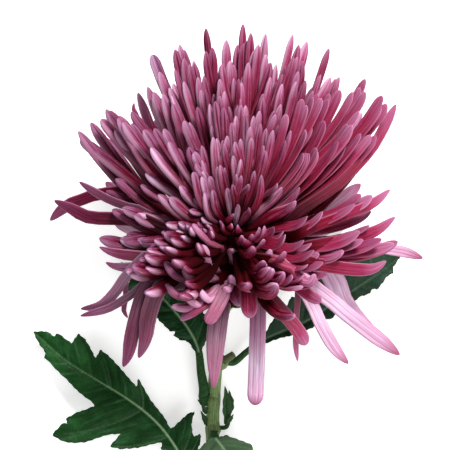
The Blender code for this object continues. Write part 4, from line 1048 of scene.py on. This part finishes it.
def nearest_on_line(places, line):
    """For each place in plan: the share along the line where it is nearest, its height there, how far."""
    best_away = np.full(len(places), np.inf)
    best_share = np.zeros(len(places))
    best_height = np.zeros(len(places))
    for index, (start, end) in enumerate(zip(line, line[1:])):
        run = np.array((end - start)[:2])
        share = np.clip((places - np.array(start[:2])) @ run / (run @ run), 0, 1)
        away = np.linalg.norm(places - np.array(start[:2]) - share[:, None] * run, axis=1)
        nearer = away < best_away
        best_away[nearer] = away[nearer]
        best_share[nearer] = (index + share[nearer]) / (len(line) - 1)
        best_height[nearer] = lerp(start[2], end[2], share[nearer])
    return best_share, best_height, best_away


def inside(places, outline):
    """Which places lie inside the closed outline in plan."""
    within = np.zeros(len(places), bool)
    for start, end in zip(outline, outline[1:] + outline[:1]):
        spans = (start[1] > places[:, 1]) != (end[1] > places[:, 1])
        rise = end[1] - start[1] if end[1] != start[1] else 1.0
        crossing = start[0] + (places[:, 1] - start[1]) / rise * (end[0] - start[0])
        within ^= spans & (places[:, 0] < crossing)
    return within


def line_length(line):
    return sum((after - before).length for before, after in zip(line, line[1:]))


def side_veins(corners, midrib):
    """A vein that curves from the midrib to each tooth of the outline."""
    shares, _, away = nearest_on_line(np.array([corner[:2] for corner in corners]), midrib)
    veins = []
    for index, corner in enumerate(corners):
        beside = max(away[index - 1], away[(index + 1) % len(corners)])
        if away[index] < VEIN_LEAST or away[index] < beside:
            continue
        share = max(VEIN_ROOT, shares[index] - VEIN_LEAN * away[index] / line_length(midrib))
        step = min(int(share * (len(midrib) - 1)), len(midrib) - 2)
        start = midrib[step].lerp(midrib[step + 1], share * (len(midrib) - 1) - step).xy.to_3d()
        end = corner.xy.to_3d()
        ahead = (midrib[step + 1] - midrib[step]).xy.to_3d().normalized() * (end - start).length
        veins.append(curve([start, start.lerp(end, 0.5) - ahead * VEIN_CURVE, end]))
    return veins


def vein_strength(places, lines, widths):
    """How near each place lies to a line, from 0 to 1, with the lines' width at the root and at the tip."""
    strength = np.zeros(len(places))
    for line in lines:
        share, _, away = nearest_on_line(places, line)
        strength = np.maximum(strength, np.exp(-(away / lerp(*widths, share)) ** 2))
    return strength


def toothed(edge):
    """The closed edge line with small teeth that lean along it."""
    travelled = 0.0
    points = []
    for before, point, after in zip(edge[-1:] + edge[:-1], edge, edge[1:] + edge[:1]):
        travelled += (point - before).length
        run = (after - before).normalized()
        out = Vector((-run.y, run.x, 0))
        points.append(point + out * TOOTH_HEIGHT * (travelled / TOOTH_STEP % 1 - 0.5))
    return points


def leaf_edge(corners):
    """The closed edge line through the corners, a little rounded, with its small teeth."""
    rounded = smooth_path([*corners, corners[0]], OUTLINE_STEPS)[:-1]
    straight = [corner.lerp(after, step / OUTLINE_STEPS)
                for corner, after in zip(corners, corners[1:] + corners[:1]) for step in range(OUTLINE_STEPS)]
    return toothed([a.lerp(b, OUTLINE_STRAIGHT) for a, b in zip(rounded, straight)])


def blade_mesh(edge, lines):
    """Places and faces of a fine flat mesh inside the edge, with places along the lines."""
    outline = [tuple(point.xy) for point in edge]
    low, high = np.min(outline, axis=0), np.max(outline, axis=0)
    columns, rows = ((high - low) / BLADE_GRID).astype(int) + 1
    grid = np.array([(low[0] + (column + 0.5 * (row % 2)) * BLADE_GRID, low[1] + row * BLADE_GRID)
                     for row in range(rows) for column in range(columns)])
    grid = grid[inside(grid, outline)]
    _, _, to_edge = nearest_on_line(grid, [*edge, edge[0]])
    grid = grid[to_edge > BLADE_MARGIN]
    on_lines = [tuple(point.xy) for line in lines for point in line[1:-1]]
    near = np.min(np.linalg.norm(grid[:, None] - np.array(on_lines)[None], axis=2), axis=1)
    places = [Vector(place) for place in [*outline, *on_lines, *grid[near > BLADE_MARGIN]]]
    ring = list(range(len(outline)))
    result = delaunay_2d_cdt(places, [], [ring], TRIANGLES_INSIDE, MERGE_DISTANCE)
    return np.array([tuple(place) for place in result[0]]), result[2]


def blade_height(leaf, places, midrib, veins):
    """The height of the blade at each place, waved, raised between its veins and furrowed."""
    share, height, away = nearest_on_line(places, midrib)
    ripple = np.sin(share * WAVE_ALONG + places[:, 0] * WAVE_ACROSS) * np.minimum(1, away / WAVE_FULL)
    height += away * leaf["rise"] + leaf["wave"] * MM * ripple
    quilt = 1 - vein_strength(places, [midrib, *veins], QUILT_WIDTH)
    height += QUILT_HEIGHT * (quilt - 0.5)
    furrow = np.sin((share * line_length(midrib) - away * FURROW_LEAN) * 2 * math.pi / FURROW_STEP)
    return height + FURROW_HEIGHT * furrow * np.minimum(1, away / FURROW_STEP) * quilt


def shell(faces, count):
    """The faces of a closed sheet: the upper side, the lower side with its own points, and the edge."""
    lower = [tuple(count + corner for corner in reversed(face)) for face in faces]
    sides = {(here, after) for face in faces for here, after in zip(face, face[1:] + face[:1])}
    edge = [(after, here, count + here, count + after) for here, after in sides if (after, here) not in sides]
    return [*faces, *lower, *edge]


def add_leaf_blade(surface, leaf, line):
    """A thin blade with toothed edge, raised between its veins."""
    corners = [on_table((x, y, 0)) for x, y in leaf["outline"]]
    edge = leaf_edge(corners)
    within = inside(np.array([point[:2] for point in line]), edge)
    midrib = [point for point, kept in zip(line, within) if kept]
    veins = side_veins(corners, midrib)
    places, faces = blade_mesh(edge, [midrib, *veins])
    count = len(places)
    share, _, away = nearest_on_line(places, midrib)
    vein = np.maximum(vein_strength(places, [midrib], MIDRIB_WIDTH),
                      vein_strength(places, veins, VEIN_WIDTH) * VEIN_SHARE)
    height = blade_height(leaf, places, midrib, veins)
    points = [(x, y, z + up) for up in (BLADE_THICKNESS / 2, -BLADE_THICKNESS / 2)
              for (x, y), z in zip(places, height)]
    surface.add(points, shell(faces, count), along=list(share) * 2, around=list(away / WAVE_FULL) * 2,
                vein=list(vein) * 2, under=[0.0] * count + [1.0] * count, stalk=0, blue=leaf["blue"],
                light=leaf["light"])


def build_leaf(name, leaf, material):
    """A leaf: its blade, and under it the midrib that runs on into the stalk."""
    surface = Surface()
    line = smooth_path(from_knot(name, leaf["rib"]), RIB_STEPS)
    add_leaf_blade(surface, leaf, line)
    count = int(len(line) * RIB_REACH)
    radii = [lerp(leaf["stalk"], RIB_TIP, min(1, RIB_THINNING * index / len(line))) * MM * STALK_WIDE
             for index in range(count)]
    lowered = []
    for index, (point, radius) in enumerate(zip(line, radii)):
        sunk = min(1, RIB_SINK * index / count)
        lowered.append(point - UP * (lerp(*RIB_DROP, sunk) + radius * STALK_FLAT * sunk))
    add_tube(surface, lowered, radii, flat=STALK_FLAT, blue=leaf["blue"], **STALK_TONE)
    return surface.piece("fine_" + name, material, [name])


def blade_width(width, look, share):
    """Width of a small blade at a share of its length: it grows to its full width, then ends in a tip."""
    full = look["full"]
    if share < full:
        wide = width * lerp(look["foot"], 1, share / full)
    else:
        wide = width * (1 - ((share - full) / (1 - full)) ** look["tip"])
    return wide * (1 + look["teeth"] * math.sin(2 * math.pi * share * look["tooth_count"]))


def add_blade(surface, controls, face, width, look, **fixed):
    """A small thin blade: a leaf of the side shoot, a scale beside it or a bract of the cup."""
    rings = []
    along = []
    for row in range(look["rows"]):
        share = row / look["rows"]
        point = curve_point(controls, share)
        up, side = blade_frame(curve_point(controls, share + AHEAD) - point, face)
        wide = blade_width(width, look, share)
        section = [(u, look["cup"] * abs(u) ** CUP_POWER * wide + thick * MM) for u, thick in BLADE_SECTION]
        rings.append([point + side * u * wide / 2 + up * height for u, height in section])
        along += [share] * len(BLADE_SECTION)
    around = [abs(u) for u, _ in BLADE_SECTION] * look["rows"] + [1.0]
    surface.add_body(rings, curve_point(controls, 1), along=along + [1.0], around=around, **fixed)


def build_involucre(material):
    """The cup under the head, with its overlapping bracts."""
    surface = Surface()
    top = HEAD_CENTRE - AXIS * (DISC_DROP + GAP)
    rings = [[top + (direction(math.pi / 2, -2 * math.pi * step / CUP_SIDES) * radius - AXIS * drop) * MM
              for step in range(CUP_SIDES)] for radius, drop in CUP_PROFILE]
    surface.add_body(rings, top - AXIS * CUP_DEPTH, along=CUP_ALONG, around=0)
    for ring, (number, low, radius, rise) in enumerate(BRACT_RINGS):
        for index in range(number):
            out = direction(math.pi / 2, 2 * math.pi * (index + 0.5 * ring) / number)
            places = ((BRACT_FOOT, low), (radius, lerp(low, rise, BRACT_KNEE)), (radius - BRACT_TIP_IN, rise))
            controls = [top + (out * away - AXIS * drop) * MM for away, drop in places]
            add_blade(surface, controls, out, BRACT_WIDTH, BRACT)
    return surface.piece("fine_involucre", material, ["involucre"])


def stem_line():
    """The middle line of the stem, from the cup to its cut end."""
    top = HEAD_CENTRE - AXIS * (DISC_DROP + CUP_DEPTH + 2 * GAP)
    neck = [top, top - AXIS * SQUARE_LENGTH, top - STEM_START * NECK_LENGTH]
    return smooth_path(neck + [on_table(point) for point in STEM_POINTS], STEM_STEPS)


def stem_radius(point, index):
    """The radius at a point of the stem's line, which narrows from the neck and swells at the knots."""
    radius = lerp(STEM_NECK, STEM_RADIUS, min(1, index / NECK_STEPS))
    for centre, knot in KNOTS.values():
        near = math.exp(-((point - on_table(centre)).length / KNOT_LENGTH) ** 2)
        radius = max(radius, lerp(radius, knot * MM, near))
    return radius


def add_knots(surface):
    """A ball in each swelling of the stem, where a leaf starts."""
    shares = [math.cos(math.pi * step / KNOT_STEPS) for step in range(KNOT_STEPS + 1)]
    for centre, radius in KNOTS.values():
        middle = on_table(centre)
        run = Vector((0, radius * MM, 0))
        ball = [radius * MM * max(KNOT_LEAST, math.sqrt(1 - share * share)) for share in shares]
        add_tube(surface, [middle - run * share for share in shares], ball, scar=KNOT_SCAR, hair=0)


def add_scar(surface):
    """The scar of a side stem, on its short stub."""
    start, end, thick, thin = SCAR
    shares = [step / SCAR_STEPS for step in range(SCAR_STEPS + 1)]
    line = [on_table(start).lerp(on_table(end), share) for share in shares]
    add_tube(surface, line, [lerp(thick, thin, share) * MM for share in shares], scar=1, hair=0)


def add_hairs(surface, line, radii):
    """Short fine hairs that stand out from the stem."""
    draw = random.Random(SEED + 4)
    for _ in range(HAIR_COUNT):
        index = draw.randrange(1, len(line) - 1)
        run = (line[index + 1] - line[index - 1]).normalized()
        side = run.cross(UP).normalized()
        turn = draw.uniform(*HAIR_TURN) * math.pi
        out = side * math.cos(turn) + side.cross(run) * math.sin(turn)
        foot = line[index].lerp(line[index + 1], draw.random()) + out * radii[index] * HAIR_SEAT
        tip = foot + (out + run * draw.uniform(-HAIR_LEAN, HAIR_LEAN)) * draw.uniform(*HAIR_LENGTH)
        across = out.cross(run) * HAIR_WIDTH
        ring = [foot + across, foot - across / 2 + run * HAIR_WIDTH, foot - across / 2 - run * HAIR_WIDTH]
        surface.add_body([ring], tip, along=0, around=0, scar=0, hair=1)


def build_stem(material):
    surface = Surface()
    line = stem_line()
    radii = [stem_radius(point, index) for index, point in enumerate(line)]
    add_tube(surface, line, radii, sides=STEM_SIDES, ridges=STEM_RIDGES, scar=0, hair=0)
    add_knots(surface)
    add_scar(surface)
    add_hairs(surface, line, radii)
    return surface.piece("fine_stem", material, ["stem"])


def build_shoot(material):
    """The young side shoot with its folded leaves."""
    surface = Surface()
    line = smooth_path(from_knot("leaf_front", SHOOT_STALK), RIB_STEPS)
    add_tube(surface, line, [SHOOT_RADIUS] * len(line), **SHOOT_STALK_TONE)
    for controls, width in SHOOT_LEAVES:
        path = [on_table(point) for point in controls]
        add_blade(surface, path, SHOOT_FACE, width * MM, YOUNG_LEAF, **YOUNG_LEAF_TONE)
    return surface.piece("fine_side_shoot", material, ["side_shoot"])


class Nodes:
    """Short calls for the nodes of one material, and the named values that its colours are mixed by."""

    def __init__(self, name):
        self.material = bpy.data.materials.new(name)
        self.material.use_nodes = True
        self.tree = self.material.node_tree
        self.shader = self.tree.nodes["Principled BSDF"]
        self.values = {}

    def link(self, value, socket):
        if isinstance(value, bpy.types.NodeSocket):
            self.tree.links.new(value, socket)
        else:
            socket.default_value = value

    def node(self, kind, inputs, output=0, **settings):
        made = self.tree.nodes.new(kind)
        for key, value in settings.items():
            setattr(made, key, value)
        for key, value in inputs.items():
            self.link(value, made.inputs[key])
        return made.outputs[output]

    def value(self, name):
        """A value by its name: one made for the material, or one that the surface carries at its points."""
        if name not in self.values:
            self.values[name] = self.node("ShaderNodeAttribute", {}, "Fac", attribute_name=name)
        return self.values[name]

    def math(self, operation, a, b=0.0):
        return self.node("ShaderNodeMath", {0: a, 1: b}, operation=operation)

    def times(self, a, b):
        return self.math("MULTIPLY", a, b)

    def place(self, x, y, z):
        return self.node("ShaderNodeCombineXYZ", {"X": x, "Y": y, "Z": z})

    def own_place(self):
        """The place on the piece, in its own frame."""
        return self.node("ShaderNodeTexCoord", {}, "Object")

    def noise(self, place, scale, detail, roughness=0.5):
        inputs = {"Vector": place, "Scale": scale, "Detail": detail, "Roughness": roughness}
        return self.node("ShaderNodeTexNoise", inputs, "Fac")

    def remap(self, value, start, end, low, high):
        """The value as it runs from start to end, turned into low to high and held between them."""
        inputs = {"Value": value, "From Min": start, "From Max": end, "To Min": low, "To Max": high}
        return self.node("ShaderNodeMapRange", inputs)

    def ramp(self, value, stops):
        """A colour ramp with (place, colour) stops."""
        made = self.tree.nodes.new("ShaderNodeValToRGB")
        while len(made.color_ramp.elements) < len(stops):
            made.color_ramp.elements.new(0.5)
        for element, (place, colour) in zip(made.color_ramp.elements, stops):
            element.position = place
            element.color = (*colour, 1)
        self.link(value, made.inputs[0])
        return made.outputs[0]

    def mix(self, share, a, b, blend="MIX"):
        made = self.tree.nodes.new("ShaderNodeMix")
        made.data_type = "RGBA"
        made.blend_type = blend
        made.clamp_factor = True
        for socket, value in ((made.inputs[0], share), (made.inputs[6], a), (made.inputs[7], b)):
            self.link((*value, 1) if isinstance(value, tuple) else value, socket)
        return made.outputs[2]

    def product(self, factors):
        """The product of named values, each as it is or remapped."""
        values = [self.remap(self.value(name), *limits) if limits else self.value(name)
                  for name, *limits in factors]
        return functools.reduce(self.times, values)

    def lay(self, colour, layers):
        """The colour with layers over it: the factors of each, how it blends, and its colour or its name."""
        for factors, blend, tone in layers:
            colour = self.mix(self.product(factors), colour, self.values.get(tone, tone), blend)
        return colour

    def finish(self, inputs, height=None, bump=None):
        """The material with these inputs of its shader, and a bump of this strength and distance."""
        if bump:
            strength, distance = bump
            raised = {"Height": height, "Strength": strength, "Distance": distance}
            inputs = {**inputs, "Normal": self.node("ShaderNodeBump", raised)}
        for key, value in inputs.items():
            self.link(value, self.shader.inputs[key])
        return self.material


def petal_streaks(n):
    """Fine streaks along a floret, with another pattern on each; the same noise places the painted glints."""
    across = n.math("ADD", n.times(n.value("across"), STREAK_ACROSS), n.times(n.value("grow"), STREAK_APART))
    place = n.place(across, n.times(n.value("along"), STREAK_ALONG), n.value("inner"))
    return n.noise(place, *STREAK_NOISE)


def petal_veins(n):
    """Lines along a floret, at both sides of its middle."""
    lines = [n.remap(n.math("ABSOLUTE", n.math("SUBTRACT", n.value("wide"), middle)), 0, half, strength, 0)
             for middle, half, strength in PETAL_VEINS]
    return n.math("MAXIMUM", *lines)


def petal_base(n):
    """The colour from the root to the tip, by face, turned purple and darkened partly as painted shade, and
    paled.
    """
    along, purple_and_shade_mix = n.value("along"), n.times(n.value("cool"), PURPLE_AND_SHADE_SHARE)
    inner = n.times(n.value("inner"), n.math("MAXIMUM", n.product(SLIT), n.value("flat")))
    colour = n.mix(inner, n.ramp(along, OUTSIDE_RAMP), n.ramp(along, INSIDE_RAMP))
    colour = n.mix(purple_and_shade_mix, colour, PURPLE_AND_SHADE_TINT, "MULTIPLY")
    faded = n.mix(purple_and_shade_mix, n.ramp(along, FADED_RAMP), FADED_PURPLE_AND_SHADE_TINT, "MULTIPLY")
    return n.mix(n.value("pale"), colour, faded)


def petal_material():
    n = Nodes("petal")
    n.values["wide"] = n.math("ABSOLUTE", n.value("across"))
    n.values["streaks"] = petal_streaks(n)
    n.values["veins"] = petal_veins(n)
    n.values["rim"] = n.mix(n.value("pale"), *RIM_COLOURS)
    colour = n.lay(petal_base(n), PETAL_LAYERS)
    inputs = {"Base Color": colour, "Roughness": n.product(PETAL_ROUGHNESS), **PETAL_SURFACE}
    return n.finish(inputs, n.value("streaks"), PETAL_BUMP)


def leaf_fold_shading(n):
    """Painted light and shade that slant from the midrib along the folds."""
    along, around = n.value("along"), n.value("around")
    slant = n.math("SUBTRACT", n.times(along, FOLD_SHADING_ALONG), n.times(around, FOLD_SHADING_SLANT))
    return n.noise(n.place(slant, n.times(around, FOLD_SHADING_AROUND), 0.0), *FOLD_SHADING_NOISE)


def leaf_material():
    n = Nodes("leaf")
    place = n.own_place()
    for name, scale, detail in LEAF_NOISES:
        n.values[name] = n.noise(place, scale, detail)
    cells = {"Vector": place, "Scale": NET_SCALE}
    cell_edge = n.node("ShaderNodeTexVoronoi", cells, "Distance", feature="DISTANCE_TO_EDGE")
    n.values["net"] = n.remap(cell_edge, *NET_LINE)
    n.values["fold_shading"] = leaf_fold_shading(n)
    n.values["vein_line"] = n.math("POWER", n.value("vein"), VEIN_POWER)
    n.values["stalk_side"] = n.mix(n.product(STALK_GRAIN), *STALK_COLOURS)
    colour = n.lay(n.ramp(n.value("mottle"), LEAF_RAMP), LEAF_LAYERS)
    height = n.math("ADD", n.times(n.value("net"), NET_HEIGHT), n.value("grain"))
    return n.finish({"Base Color": colour, **LEAF_SURFACE}, height, LEAF_BUMP)


def stem_material():
    n = Nodes("stem")
    turn = n.times(n.value("around"), 2 * math.pi)
    round_stem = [n.times(n.math(side, turn), STREAK_ROUND) for side in ("SINE", "COSINE")]
    streaks = n.noise(n.place(*round_stem, n.times(n.value("along"), STREAK_UP)), *STEM_NOISE)
    n.values["specks"] = n.noise(n.own_place(), *SPECKS_NOISE)
    n.values["wound"] = n.mix(n.product(WOUND_SPECKS), *WOUND_COLOURS)
    colour = n.lay(n.ramp(streaks, STEM_RAMP), STEM_LAYERS)
    height = n.math("ADD", streaks, n.times(n.value("specks"), SPECKS_HEIGHT))
    return n.finish({"Base Color": colour, **STEM_SURFACE}, height, STEM_BUMP)


def bract_material():
    n = Nodes("bract")
    grain = n.noise(n.own_place(), *BRACT_NOISE)
    n.values["margin"] = n.math("MAXIMUM", *(n.product([limits]) for limits in BRACT_MARGIN))
    colour = n.lay(n.ramp(grain, BRACT_RAMP), BRACT_LAYERS)
    return n.finish({"Base Color": colour, **BRACT_SURFACE}, grain, STEM_BUMP)


def build_stage():
    """A white floor that glows a little, so that it stays white."""
    mesh = bpy.data.meshes.new("floor")
    corners = [(x * FLOOR_SIZE, y * FLOOR_SIZE, 0) for x, y in ((-1, -1), (1, -1), (1, 1), (-1, 1))]
    mesh.from_pydata(corners, [], [(0, 1, 2, 3)])
    mesh.materials.append(Nodes("floor").finish(FLOOR_SURFACE))
    floor = new_object("floor", mesh)


def area_light(name, place, target, size, power):
    light = bpy.data.lights.new(name, "AREA")
    light.shape = "DISK"
    light.size = size
    light.energy = power
    item = new_object(name, light)
    item.location = place
    item.rotation_euler = (Vector(target) - Vector(place)).to_track_quat("-Z", "Y").to_euler()


def build_lights():
    world = bpy.data.worlds.new("world")
    bpy.context.scene.world = world
    world.use_nodes = True
    background = world.node_tree.nodes["Background"]
    background.inputs["Color"].default_value = WHITE
    background.inputs["Strength"].default_value = WORLD_LIGHT
    for light in LIGHTS:
        area_light(*light)


def build_camera():
    camera = bpy.data.cameras.new("camera")
    camera.lens = CAMERA_LENS
    camera.sensor_width = SENSOR
    item = new_object("camera", camera)
    item.location = CAMERA_PLACE
    bpy.context.scene.camera = item


def main():
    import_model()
    petal = petal_material()
    build_dense_florets(petal)
    build_old_florets(petal)
    build_under_florets(petal)
    green = leaf_material()
    for name, leaf in LEAVES.items():
        build_leaf(name, leaf, green)
    build_shoot(green)
    build_involucre(bract_material())
    build_stem(stem_material())
    build_stage()
    build_lights()
    build_camera()
    bpy.context.scene.view_settings.view_transform = "Standard"


main()
